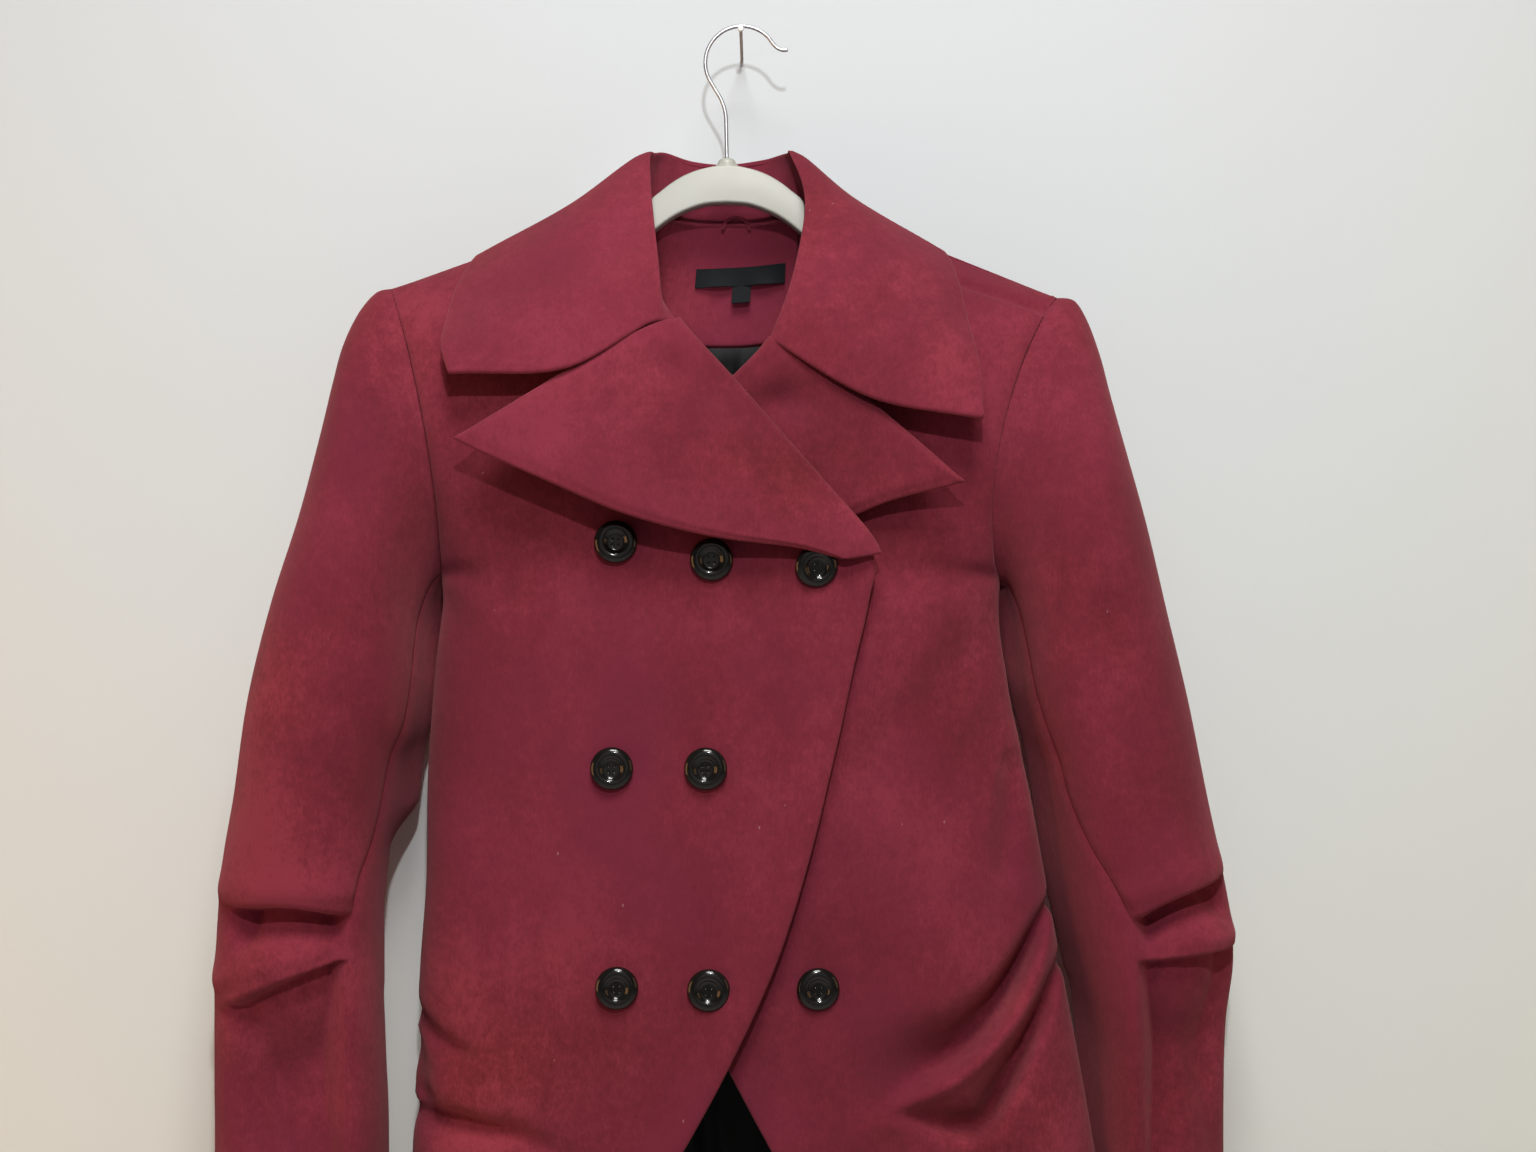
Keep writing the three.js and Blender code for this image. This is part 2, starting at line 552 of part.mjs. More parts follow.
const LEFT_SLEEVE = table(SLEEVE_COLUMNS, [
  [177, -146, 145.5, -304, -48, 34, 2.0, -19, -0.97],
  [186, -148, 149, -307, -49, 38, 2.0, -17, -0.97],
  [193, -160, 152, -316, -50, 43, 2.1, -11, -0.97],
  [199, -180, 155, -330, -54, 47, 2.1, -6, -0.97],
  [203, -200, 157.5, -347, -57, 49, 2.2, -2, -0.97],
  [209, -225, 160, -365, -60, 50, 2.2, 0, -0.97],
  [221, -270, 165, -386, -61, 50, 2.3, 0, -0.96],
  [232, -318, 170, -404, -62, 49, 2.3, 0, -0.94],
  [244, -368, 174, -428, -62, 49, 2.3, 0, -0.9],
  [254, -416, 177, -450, -62, 49, 2.3, 0, -0.76],
  [262, -452, 180, -470, -62, 49, 2.3, 0, -0.56],
  [268.5, -486, 184.5, -492, -62, 49, 2.3, 0, -0.42],
  [270, -512, 190, -516, -62, 49, 2.3, 0, -0.36],
  [266, -545, 197, -550, -62, 48, 2.3, 0, -0.34],
  [264.5, -590, 200.5, -590, -62, 47, 2.3, 0, -0.34],
  [264, -645, 205, -645, -62, 46, 2.3, 0, -0.34],
  [265, -690, 207, -690, -62, 46, 2.3, 0, -0.34],
  [266, CUFF_Z, 208, CUFF_Z, -62, 46, 2.3, 0, -0.34],
]);
const BACK_SEAM = -0.35;      // place of the back seam across the ring, as the front's
const SEAM_TURN = SEAM / 90;  // half the seam's gap as an angle of the ring

// turn is 0 at the outer point, a quarter turn at the front and a half turn at the inner point.
function sleevePoint(rows, turn, v) {
  const row = between(rows, v);
  const power = 2 / row.round;
  const [c, s] = [Math.cos(turn), Math.sin(turn)];
  const across = Math.sign(c) * Math.abs(c) ** power;
  const forward = Math.sign(s) * Math.abs(s) ** power;
  const centre = new THREE.Vector3((row.outX + row.inX) / 2, row.y, (row.outZ + row.inZ) / 2);
  const point = new THREE.Vector3(
    centre.x + (row.outX - row.inX) / 2 * across + row.hollow * Math.abs(forward) ** 1.5,
    centre.y - row.half * forward,
    centre.z + (row.outZ - row.inZ) / 2 * across);
  const inward = centre.sub(point).normalize();
  return point.addScaledVector(inward, foldDepth(SLEEVE_FOLDS, point) * smooth(-0.8, 0.3, s));
}

// The turn at which the ring has a given place across it, on the front or the back.
function seamTurn(place, round) {
  return Math.acos(Math.sign(place) * Math.abs(place) ** (round / 2));
}

// The top sleeve goes round the outside from back seam to front seam, the under sleeve the rest.
function addSleeve(name, rows, turn) {
  const levels = rowSteps(rows, 10, 13, 3);
  const seams = (v) => {
    const row = between(rows, v);
    return [seamTurn(row.seam, row.round), 2 * Math.PI - seamTurn(BACK_SEAM, row.round)];
  };
  const top = gridOf(steps(10), levels, (u, v) => {
    const [front, back] = seams(v);
    const from = back - 2 * Math.PI + SEAM_TURN;
    return sleevePoint(rows, from + (front - SEAM_TURN - from) * u, v);
  });
  const under = gridOf(steps(4), levels, (u, v) => {
    const [front, back] = seams(v);
    return sleevePoint(rows, front + SEAM_TURN + (back - front - 2 * SEAM_TURN) * u, v);
  });
  addMesh(name + '_top', wall(top, WOOL, turn), WOOL_LOOK);
  addMesh(name + '_under', wall(under, WOOL, turn), WOOL_LOOK);
}

addSleeve('sleeve_right', RIGHT_SLEEVE, 1);
addSleeve('sleeve_left', LEFT_SLEEVE, -1);

// ---- buttons ----

// y of a panel's outer face at a place seen from the front, or 0 where it isn't.
function faceY(grid, x, z) {
  for (let j = 0; j < grid.length - 1; j++) {
    for (let i = 0; i < grid[0].length - 1; i++) {
      const [a, b, c, d] = [grid[j][i], grid[j][i + 1], grid[j + 1][i + 1], grid[j + 1][i]];
      for (const [p, q, r] of [[a, b, c], [a, c, d]]) {
        const area = (q.x - p.x) * (r.z - p.z) - (r.x - p.x) * (q.z - p.z);
        const s = ((x - p.x) * (r.z - p.z) - (r.x - p.x) * (z - p.z)) / area;
        const t = ((q.x - p.x) * (z - p.z) - (x - p.x) * (q.z - p.z)) / area;
        if (s >= 0 && t >= 0 && s + t <= 1) return p.y + s * (q.y - p.y) + t * (r.y - p.y);
      }
    }
  }
  return 0;
}

// Foremost y of a panel under the disc of a button.
function foremost(grid, x, z) {
  let front = faceY(grid, x, z);
  for (let angle = 0; angle < 2 * Math.PI; angle += Math.PI / 6) {
    const y = faceY(grid, x + BUTTON.radius * Math.cos(angle), z + BUTTON.radius * Math.sin(angle));
    front = Math.min(front, y);
  }
  return front;
}

// A solid turned about its own axis, from a profile of [radius, height].
function turned(profile, segments) {
  return new THREE.LatheGeometry(profile.map(([x, y]) => new THREE.Vector2(x, y)), segments);
}

// A rimmed, dished button, its back at height 0.
function buttonGeometry() {
  const { radius, rim, rimWidth, dish, edge } = BUTTON;
  return turned([
    [0, 0], [radius - 2 * edge, 0], [radius, edge], [radius, rim - edge], [radius - edge, rim],
    [radius - rimWidth, rim - 0.3 * edge], [radius - 1.6 * rimWidth, rim - dish], [0, rim - dish],
  ], 28);
}

const BUTTONS = [
  ['button_top_outer', rightFront, -65.4, -282.8],
  ['button_top_middle', rightFront, -14.5, -292.2],
  ['button_top_inner', rightFront, 40.6, -295.6],
  ['button_middle_outer', rightFront, -67.5, -402.8],
  ['button_middle_inner', rightFront, -17.7, -402.8],
  ['button_low_outer', rightFront, -64.8, -518.8],
  ['button_low_inner', rightFront, -16.1, -519.9],
  ['button_low_left', leftFront, 41.8, -520.6],
];
for (const [name, grid, x, z] of BUTTONS) {
  const button = addMesh(name, buttonGeometry(), BUTTON_LOOK);
  button.rotation.x = Math.PI;
  button.position.set(x, foremost(grid, x, z) - SEAM, z);
}

// ---- hanger ----

// Half of the hanger's outline and of the opening over its lower bar, from the middle outwards,
// as [distance from the middle, z].
const HANGER_MIDDLE = -8;
const HANGER_EDGE = [
  [0, -70.3], [10, -70.9], [18, -73], [26, -77], [35, -83], [42, -89.5], [46, -98], [53, -109], [66, -115],
  [150, -150], [157, -153], [160, -157], [159, -164], [150, -182], [144, -191], [135, -196], [124, -197],
];
const HANGER_OPENING = [
  [0, -91.2], [12, -92.2], [22, -96], [31, -101.5], [42, -110], [56, -124], [138, -159],
  [145, -162], [146, -168], [139, -179], [134, -185], [126, -189],
];

function mirrored(half) {
  const points = [...half, ...half.filter(([x]) => x > 0).reverse().map(([x, z]) => [-x, z])];
  return points.map(([x, z]) => new THREE.Vector2(HANGER_MIDDLE + x, z));
}

const ROUNDING = { depth: 2.5, width: 1.5 };      // of the hanger's edges
const hangerShape = new THREE.Shape(mirrored(HANGER_EDGE));
hangerShape.holes.push(new THREE.Path(mirrored(HANGER_OPENING).reverse()));
const hangerGeometry = new THREE.ExtrudeGeometry(hangerShape, {
  depth: HANGER.depth - 2 * ROUNDING.depth,
  bevelThickness: ROUNDING.depth,
  bevelSize: ROUNDING.width,
  bevelOffset: -ROUNDING.width,
  bevelSegments: 2,
});
const hanger = addMesh('hanger', hangerGeometry, HANGER_LOOK);
hanger.rotation.x = HALF_PI;
hanger.position.y = HANGER.y + HANGER.depth / 2 - ROUNDING.depth;

// The dome on top of the hanger that holds the hook's stem.
const SOCKET = { radius: 5, height: 2.3, low: -69.9 };
const SOCKET_PROFILE = [
  [0, 0], [SOCKET.radius, 0], [SOCKET.radius, 0.35 * SOCKET.height],
  [0.72 * SOCKET.radius, 0.78 * SOCKET.height], [0.4 * SOCKET.radius, SOCKET.height],
  [0, SOCKET.height],
];
const socket = addMesh('hook_socket', turned(SOCKET_PROFILE, 20), HANGER_LOOK);
socket.rotation.x = HALF_PI;
socket.position.set(HANGER_MIDDLE, HANGER.y, SOCKET.low);

// The hook: a straight stem, a bend, a round bow over the nail and a short turned-out tip.
const HOOK_STEM = [[-7.8, -67.1], [-8, -58], [-8.2, -50], [-8.6, -42], [-10.9, -34.5], [-15, -27.5]];
const HOOK_TIP = [[20.6, -5.4], [23.4, -6.5], [26.4, -6.3]];

function hookPath() {
  const bow = [];
  for (let degrees = 200; degrees >= 30; degrees -= 17) {
    const angle = THREE.MathUtils.degToRad(degrees);
    bow.push([HOOK.x + HOOK.radius * Math.cos(angle), HOOK.z + HOOK.radius * Math.sin(angle)]);
  }
  const points = [...HOOK_STEM, ...bow, ...HOOK_TIP];
  return new THREE.CatmullRomCurve3(points.map(([x, z]) => new THREE.Vector3(x, HANGER.y, z)));
}
const wireSection = new THREE.Shape().absarc(0, 0, HANGER.wire, 0, 2 * Math.PI);
const wireOptions = { steps: 60, extrudePath: hookPath(), curveSegments: 5 };
addMesh('hanger_hook', new THREE.ExtrudeGeometry(wireSection, wireOptions), METAL_LOOK);

// ---- wall nail ----

const HEAD_BASE = NAIL.length - NAIL.headLength;
const NAIL_PROFILE = [
  [0, 0], [NAIL.radius, 0], [NAIL.radius, HEAD_BASE], [NAIL.headRadius, HEAD_BASE],
  [NAIL.headRadius, NAIL.length - 0.4], [NAIL.headRadius - 0.5, NAIL.length], [0, NAIL.length],
];
const nail = addMesh('wall_nail', turned(NAIL_PROFILE, 16), METAL_LOOK);
nail.rotation.x = Math.PI - THREE.MathUtils.degToRad(NAIL.slope);

export default coat;
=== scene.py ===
"""A double-breasted burgundy wool coat on a plastic hanger, hung from a nail in a wall.

Tables and sizes are in millimetres and meshes in metres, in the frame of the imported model: x to the
right of someone facing the coat, y into the wall, z up, from the point where the nail enters the
wall. Right and left in names are the wearer's.
"""

from types import SimpleNamespace

import bpy
import numpy as np
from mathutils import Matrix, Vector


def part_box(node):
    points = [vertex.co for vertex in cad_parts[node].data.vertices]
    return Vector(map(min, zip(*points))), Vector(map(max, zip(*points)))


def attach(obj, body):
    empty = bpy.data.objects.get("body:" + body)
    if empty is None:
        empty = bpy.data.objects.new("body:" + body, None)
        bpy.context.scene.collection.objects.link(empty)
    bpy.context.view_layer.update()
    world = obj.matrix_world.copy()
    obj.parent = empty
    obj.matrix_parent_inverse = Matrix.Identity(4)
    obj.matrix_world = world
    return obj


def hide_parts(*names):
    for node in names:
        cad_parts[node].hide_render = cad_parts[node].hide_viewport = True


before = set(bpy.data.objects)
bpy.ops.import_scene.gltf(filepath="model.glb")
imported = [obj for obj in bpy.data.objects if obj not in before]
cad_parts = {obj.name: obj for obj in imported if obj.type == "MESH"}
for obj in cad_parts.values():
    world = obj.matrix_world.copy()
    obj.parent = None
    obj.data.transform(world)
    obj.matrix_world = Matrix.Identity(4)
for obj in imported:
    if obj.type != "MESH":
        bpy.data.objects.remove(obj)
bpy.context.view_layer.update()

# ---- camera ----
# Level with the chest, a little over a metre from the wall, with the hem and cuffs out of sight.

CAMERA_PLACE = (0.0152, -1.1, -0.301)
LENS = 44.2

camera_data = bpy.data.cameras.new("camera")
camera_data.lens = LENS
camera_data.sensor_width = 36.0
camera_data.clip_start = 0.01
camera = bpy.data.objects.new("camera", camera_data)
camera.location = CAMERA_PLACE
camera.rotation_euler = (np.pi / 2, 0.0, 0.0)
bpy.context.scene.collection.objects.link(camera)
bpy.context.scene.camera = camera

# ---- nail and hook ----
# A thin steel nail, driven into the wall with its head a little up, and over it the hanger's hook:
# plated spring wire with a straight stem, a round bow and a tip that turns out. Its stem is set in
# the hanger.

MM = 0.001
HANGER_Y = -44.0
WIRE_RADIUS = 1.05
WIRE_RUN = 150.0        # a rough length, for its places
NAIL_SLOPE = np.radians(5.6)
# The nail's profile from the wall to the middle of its head, as (place along it, radius).
NAIL_PROFILE = [
    (0.0, 0.05), (0.0, 0.9), (25.0, 0.9), (46.2, 0.9), (46.4, 1.0), (46.6, 1.65), (47.2, 1.75),
    (47.7, 1.65), (47.95, 1.2), (48.0, 0.05),
]
BOW_CENTRE = (0.6, -13.6)
BOW_RADIUS = 20.5
# The wire's line below and beyond its bow, as (x, z).
HOOK_STEM = [
    (-7.8, -69.0), (-8.0, -58.0), (-8.2, -50.0), (-8.6, -42.0), (-10.9, -34.5), (-15.0, -27.5),
]
HOOK_TIP = [(20.6, -5.4), (23.4, -6.5), (26.4, -6.3)]
PLATING = (0.66, 0.67, 0.70, 1.0)


class Value:
    """A socket's value in a material; arithmetic on it adds Math nodes."""

    def __init__(self, finish, socket):
        self.finish = finish
        self.socket = socket

    def math(self, operation, first, second):
        """The Math node for an operation on two values or numbers."""
        return self.finish.node("ShaderNodeMath", {"operation": operation}, {0: first, 1: second})

    def __add__(self, other):
        return self.math("ADD", self, other)

    __radd__ = __add__

    def __sub__(self, other):
        return self.math("SUBTRACT", self, other)

    def __rsub__(self, other):
        return self.math("SUBTRACT", other, self)

    def __mul__(self, other):
        return self.math("MULTIPLY", self, other)

    __rmul__ = __mul__

    def __gt__(self, other):
        return self.math("GREATER_THAN", self, other)

    def __lt__(self, other):
        return self.math("LESS_THAN", self, other)


class Finish:
    """A material made of nodes, its surface a Principled BSDF with the given constant settings."""

    def __init__(self, name, **constants):
        self.material = bpy.data.materials.new(name)
        self.material.use_nodes = True
        self.tree = self.material.node_tree
        self.surface = self.tree.nodes["Principled BSDF"]
        for socket, value in constants.items():
            self.surface.inputs[socket.replace("_", " ")].default_value = value

    def node(self, kind, settings=None, inputs=None, output=0):
        """A node of a kind: its settings first, then the values or links of its sockets."""
        made = self.tree.nodes.new(kind)
        for key, value in (settings or {}).items():
            if key == "stops":
                for spare in made.color_ramp.elements[len(value):]:
                    made.color_ramp.elements.remove(spare)
                for place, (position, colour) in enumerate(value):
                    if place == len(made.color_ramp.elements):
                        made.color_ramp.elements.new(position)
                    made.color_ramp.elements[place].position = position
                    made.color_ramp.elements[place].color = colour
            else:
                setattr(made, key, value)
        for key, value in (inputs or {}).items():
            if isinstance(value, Value):
                self.tree.links.new(value.socket, made.inputs[key])
            else:
                made.inputs[key].default_value = value
        return Value(self, made.outputs[output])

    def place(self, stretch=(1.0, 1.0, 1.0), turn=(0.0, 0.0, 0.0)):
        """The point on the piece, in metres, stretched and turned."""
        point = self.node("ShaderNodeTexCoord", output="Object")
        return self.node("ShaderNodeMapping", {}, {"Vector": point, "Scale": stretch, "Rotation": turn})

    def noise(self, scale, detail=3.0, roughness=0.55, stretch=(1.0, 1.0, 1.0), turn=(0.0, 0.0, 0.0)):
        """Cloudy noise about 0.5, with so many lumps to a metre."""
        inputs = {"Vector": self.place(stretch, turn), "Scale": scale, "Detail": detail}
        return self.node("ShaderNodeTexNoise", {}, {**inputs, "Roughness": roughness})

    def mixed(self, amount, first, second):
        """A colour between two colours."""
        return self.node("ShaderNodeMix", {"data_type": "RGBA"}, {0: amount, 6: first, 7: second}, output=2)

    def feed(self, socket, value):
        """Links a value that changes over the surface to one of the surface's sockets."""
        self.tree.links.new(value.socket, self.surface.inputs[socket])

    def relief(self, height, depth, strength=1.0):
        """Bumps of a height from 0 to 1, of so many metres at most."""
        bump = self.node("ShaderNodeBump", {}, {"Height": height, "Distance": depth, "Strength": strength})
        self.feed("Normal", bump)


def unit(vectors):
    """Each vector divided by its length."""
    return vectors / np.maximum(np.linalg.norm(vectors, axis=-1, keepdims=True), 1e-9)


def bend(points, t):
    """A curve through control points, shape (n, ..., 3), at places t from 0 to 1.

    Between two points it is the cubic with the tangents of a centripetal Catmull-Rom curve: each
    difference is divided by the square root of its length, and past the ends the points go on
    straight.
    """
    points = np.asarray(points, float)
    points = np.concatenate([[2 * points[0] - points[1]], points, [2 * points[-1] - points[-2]]])
    spans = len(points) - 3
    k = np.minimum((t * spans).astype(int), spans - 1)
    f = (t * spans - k).reshape((-1,) + (1,) * (points.ndim - 1))
    a, b, c, d = (points[k + i] for i in range(4))
    first, middle, last = (
        np.sqrt(np.linalg.norm(q - p, axis=-1, keepdims=True)) for p, q in ((a, b), (b, c), (c, d)))
    leave = ((b - a) / first - (c - a) / (first + middle) + (c - b) / middle) * middle
    arrive = ((c - b) / middle - (d - b) / (middle + last) + (d - c) / last) * middle
    return (b + leave * f + (3 * (c - b) - 2 * leave - arrive) * f ** 2
            + (2 * (b - c) + leave + arrive) * f ** 3)


def make_mesh(name, points, faces):
    """A smooth-shaded object from points in millimetres and faces of four corners each."""
    mesh = bpy.data.meshes.new(name)
    mesh.vertices.add(len(points))
    mesh.vertices.foreach_set("co", (np.asarray(points, float) * MM).ravel())
    mesh.loops.add(faces.size)
    mesh.loops.foreach_set("vertex_index", faces.ravel().astype(np.int32))
    mesh.polygons.add(len(faces))
    mesh.polygons.foreach_set("loop_start", np.arange(0, faces.size, 4, dtype=np.int32))
    mesh.polygons.foreach_set("use_smooth", np.ones(len(faces), bool))
    mesh.update(calc_edges=True)
    mesh.validate()
    piece = bpy.data.objects.new(name, mesh)
    bpy.context.scene.collection.objects.link(piece)
    return piece


def grid_faces(rows, columns, around=False):
    """Corners of the faces of a grid of points, a row after a row; around joins each row's ends."""
    j, i = np.meshgrid(np.arange(rows - 1), np.arange(columns - (not around)), indexing="ij")
    here = j * columns + i
    beside = j * columns + (i + 1) % columns
    return np.stack([here, beside, beside + columns, here + columns], -1).reshape(-1, 4)


def rod(name, path, radii, sides=20):
    """A round rod along a path: a circle of each point's radius, square to the path.

    The circle's first axis is square to the path and to y, its second square to both. The ends
    close on their own radius of nearly nothing.
    """
    along = unit(np.gradient(path, axis=0))
    first = unit(np.cross(along, np.array([0.0, 1.0, 0.0001])))
    second = np.cross(first, along)
    angle = np.linspace(0, 2 * np.pi, sides, endpoint=False)[None, :, None]
    reach = np.asarray(radii)[:, None, None]
    ring = path[:, None] + reach * (np.cos(angle) * first[:, None] + np.sin(angle) * second[:, None])
    return make_mesh(name, ring.reshape(-1, 3), grid_faces(len(path), sides, around=True)[:, ::-1])


def domed(length, radius, count):
    """Places along a rod, closer at its ends, and its radius there, with half-round ends.

    length is a rough one: it only shares out the places.
    """
    end = radius * (1 - np.cos(np.linspace(0.05, np.pi / 2, 8)))
    places = np.concatenate([end, np.linspace(radius, length - radius, count)[1:-1], length - end[::-1]])
    inset = np.clip(np.minimum(places, length - places), 0, radius)
    return places / length, np.sqrt(np.maximum(radius ** 2 - (radius - inset) ** 2, 1e-4))


def fit(piece, finish, node):
    """Gives a piece its finish and puts it in the place of its node, on the coat's one body."""
    piece.data.materials.append(finish.material)
    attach(piece, "root")
    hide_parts(node)


steel = Finish("plated_wire", Metallic=0.75)
brushing = steel.noise(900, detail=4, stretch=(1, 1, 0.2))
steel.feed("Base Color", steel.mixed(brushing, PLATING, (0.50, 0.51, 0.54, 1.0)))
steel.feed("Roughness", 0.26 + 0.2 * brushing)
steel.relief(brushing, 0.00004)

bow_angles = np.radians(np.arange(200, 29, -17))
bow_x = BOW_CENTRE[0] + BOW_RADIUS * np.cos(bow_angles)
bow_z = BOW_CENTRE[1] + BOW_RADIUS * np.sin(bow_angles)
hook_line = HOOK_STEM + list(zip(bow_x, bow_z)) + HOOK_TIP
hook_points = np.array([(x, HANGER_Y, z) for x, z in hook_line])
places, radii = domed(WIRE_RUN, WIRE_RADIUS, 220)
hook = rod("hook_wire", bend(hook_points, places), radii)
fit(hook, steel, "hanger_hook")

nail_steel = Finish("nail_steel", Metallic=0.1)
dulling = nail_steel.noise(1500, detail=3)
nail_colour = nail_steel.mixed(dulling, (0.92, 0.91, 0.88, 1.0), (0.80, 0.79, 0.76, 1.0))
nail_steel.feed("Base Color", nail_colour)
nail_steel.feed("Roughness", 0.42 + 0.2 * dulling)

nail_along, nail_radii = np.array(NAIL_PROFILE).T
nail_path = nail_along[:, None] * np.array([0.0, -np.cos(NAIL_SLOPE), np.sin(NAIL_SLOPE)])
NAIL_SIDES = 24
nail_angle = np.linspace(0, 2 * np.pi, NAIL_SIDES, endpoint=False)[None, :, None]
nail_up = np.array([0.0, np.sin(NAIL_SLOPE), np.cos(NAIL_SLOPE)])
nail_ring = nail_path[:, None] + nail_radii[:, None, None] * (
    np.cos(nail_angle) * np.array([1.0, 0.0, 0.0]) - np.sin(nail_angle) * nail_up)
nail_faces = grid_faces(len(nail_along), NAIL_SIDES, around=True)[:, ::-1]
nail = make_mesh("nail", nail_ring.reshape(-1, 3), nail_faces)
fit(nail, nail_steel, "wall_nail")

# ---- hanger ----
# One moulding of cream plastic: a shaped bar with arms for the shoulders and a lower bar, its edges
# rounded by the mould, and a small dome that grips the hook's stem.

HANGER_MIDDLE = -8.0
HANGER_DEPTH = 11.0
HANGER_ROUNDING = 1.5
# Half outlines, as (distance from the middle, z), from the middle of the top.
HANGER_EDGE = [
    (0, -72.0), (6, -72.3), (12, -73.5), (18, -75.2), (25, -78.3), (31, -82), (36.5, -86.3), (42, -91),
    (46, -98), (53, -109), (66, -115), (150, -150), (157, -153), (160, -157), (159, -164), (150, -182),
    (144, -191), (135, -196), (124, -197),
]
HANGER_OPENING = [
    (0, -92.6), (12, -93.6), (22, -96.8), (31, -101.5), (42, -110), (56, -124), (138, -159),
    (145, -162), (146, -168), (139, -179), (134, -185), (126, -189),
]


def hanger_loop(half, count):
    """A closed outline from a half of it, (distance from the middle, z), evenly spaced.

    The half is run round smoothly from the middle of the top, down to the middle of the bottom, and
    mirrored.
    """
    half = np.array([(x, 0.0, z) for x, z in half], float)
    fine = bend(half, np.linspace(0, 1, 2000))
    run = np.concatenate([[0], np.cumsum(np.linalg.norm(np.diff(fine, axis=0), axis=1))])
    lower = np.array([[0.0, 0.0, fine[-1, 2]]])
    fine = np.concatenate([fine, lower])
    run = np.append(run, run[-1] + fine[-2, 0])
    even = np.linspace(0, run[-1], count)
    line = np.stack([np.interp(even, run, fine[:, k]) for k in range(3)], -1)
    mirrored = line[-2:0:-1] * (-1.0, 1.0, 1.0)
    return np.concatenate([line, mirrored]) + (HANGER_MIDDLE, HANGER_Y, 0.0)


def hanger_band(count=260, corner=6):
    """The moulding as a ring carried round its outline: flat faces with quarter-round corners.

    Across the band each corner is the outline's point moved in by r(1 - sin a) and sunk from the
    face by r(1 - cos a), with r the rounding.
    """
    outer = hanger_loop(HANGER_EDGE, count)
    inner = hanger_loop(HANGER_OPENING, count)
    across = unit(inner - outer)
    angle = np.linspace(0, np.pi / 2, corner)
    inset = HANGER_ROUNDING * (1 - np.sin(angle))
    sunk = HANGER_DEPTH / 2 - HANGER_ROUNDING * (1 - np.cos(angle))
    lines = [outer + across * i + (0.0, -s, 0.0) for i, s in zip(inset[::-1], sunk[::-1])]
    lines += [inner - across * i + (0.0, -s, 0.0) for i, s in zip(inset, sunk)]
    lines += [inner - across * i + (0.0, s, 0.0) for i, s in zip(inset[::-1], sunk[::-1])]
    lines += [outer + across * i + (0.0, s, 0.0) for i, s in zip(inset, sunk)]
    return np.stack(lines, 1)


def closed_faces(rows, columns):
    """Corners of the faces of a grid whose rows and columns both close on themselves."""
    j, i = np.meshgrid(np.arange(rows), np.arange(columns), indexing="ij")
    beside = j * columns + (i + 1) % columns
    above = ((j + 1) % rows) * columns
    return np.stack([j * columns + i, beside, above + (i + 1) % columns, above + i], -1).reshape(-1, 4)


plastic = Finish("hanger_plastic", Roughness=0.42, Coat_Weight=0.15, Coat_Roughness=0.3)
moulding = plastic.noise(60, detail=2)
grain = plastic.noise(1400, detail=2)
cream = plastic.mixed(moulding, (0.47, 0.475, 0.435, 1.0), (0.42, 0.42, 0.37, 1.0))
plastic.feed("Base Color", cream)
plastic.feed("Roughness", 0.36 + 0.14 * grain)
plastic.relief(grain, 0.00005, 0.5)

band = hanger_band()
hanger = make_mesh("hanger_moulding", band.reshape(-1, 3), closed_faces(*band.shape[:2]))
fit(hanger, plastic, "hanger")

# The dome's profile from its underside, as (reach, z). It is no deeper than the bar from front to
# back.
DOME_X = -7.8
DOME = [
    (0.05, -75.4), (11.0, -75.2), (8.6, -73.1), (6.4, -71.6), (5.2, -70.2), (4.6, -68.8), (3.6, -67.8),
    (2.2, -67.4), (0.05, -67.3),
]
DOME_DEPTH = 5.2
DOME_ROWS = 40
DOME_SIDES = 48
dome_angle = np.linspace(0, 2 * np.pi, DOME_SIDES, endpoint=False)[None, :]
dome_profile = bend(np.array([(r, z, 0.0) for r, z in DOME]), np.linspace(0, 1, DOME_ROWS))
dome_reach = dome_profile[:, 0:1]
dome_z = dome_profile[:, 1:2]
dome_ring = np.stack([
    DOME_X + dome_reach * np.cos(dome_angle),
    HANGER_Y + np.minimum(dome_reach, DOME_DEPTH) * np.sin(dome_angle),
    dome_z + 0 * dome_angle], -1)
dome_faces = grid_faces(DOME_ROWS, DOME_SIDES, around=True)
dome = make_mesh("hook_socket_dome", dome_ring.reshape(-1, 3), dome_faces)
fit(dome, plastic, "hook_socket")

# ---- back ----
# The back is two halves of thick felted wool sewn down the middle, here one panel with the seam sunk
# in it. It is sewn to the fronts at the sides and shoulders, to the sleeves round the armholes and
# to the collar's stand at the neck.

WOOL = 2.6              # the cloth's thickness
SIDE_Y = -48.0          # the side seams' distance in front of the wall
SEAM = 0.35             # how far a panel stops short of a side seam
ARMHOLE_SEAM = 0.5      # and of an armhole
ARMHOLE_RIGHT = SimpleNamespace(top_x=-195, top_z=-141, low_x=-166, low_z=-302, half=34, hollow=10)
ARMHOLE_LEFT = SimpleNamespace(top_x=177, top_z=-146, low_x=144.5, low_z=-303, half=34, hollow=-19)
NECK = 0.34             # the neck's end, as a part of the way to the shoulder point
NECK_POINT = (-47.0, -97.0)


def named(names, rows):
    """A short table as one array for each named column."""
    return dict(zip(names.split(), np.array(rows, float).T))


def along(table, t):
    """The table's columns at places t from 0, its first row, to 1, its last.

    Each is the Catmull-Rom cubic through the rows: half the difference of the two neighbours is the
    slope at a row.
    """
    read = {}
    for name, column in table.items():
        last = len(column) - 1
        k = np.minimum((t * last).astype(int), last - 1)
        f = t * last - k
        a, b, c, d = (column[np.clip(k + i, 0, last)] for i in (-1, 0, 1, 2))
        read[name] = b + 0.5 * f * (c - a + f * (2 * a - 5 * b + 4 * c - d + f * (3 * (b - c) + d - a)))
    return SimpleNamespace(**read)


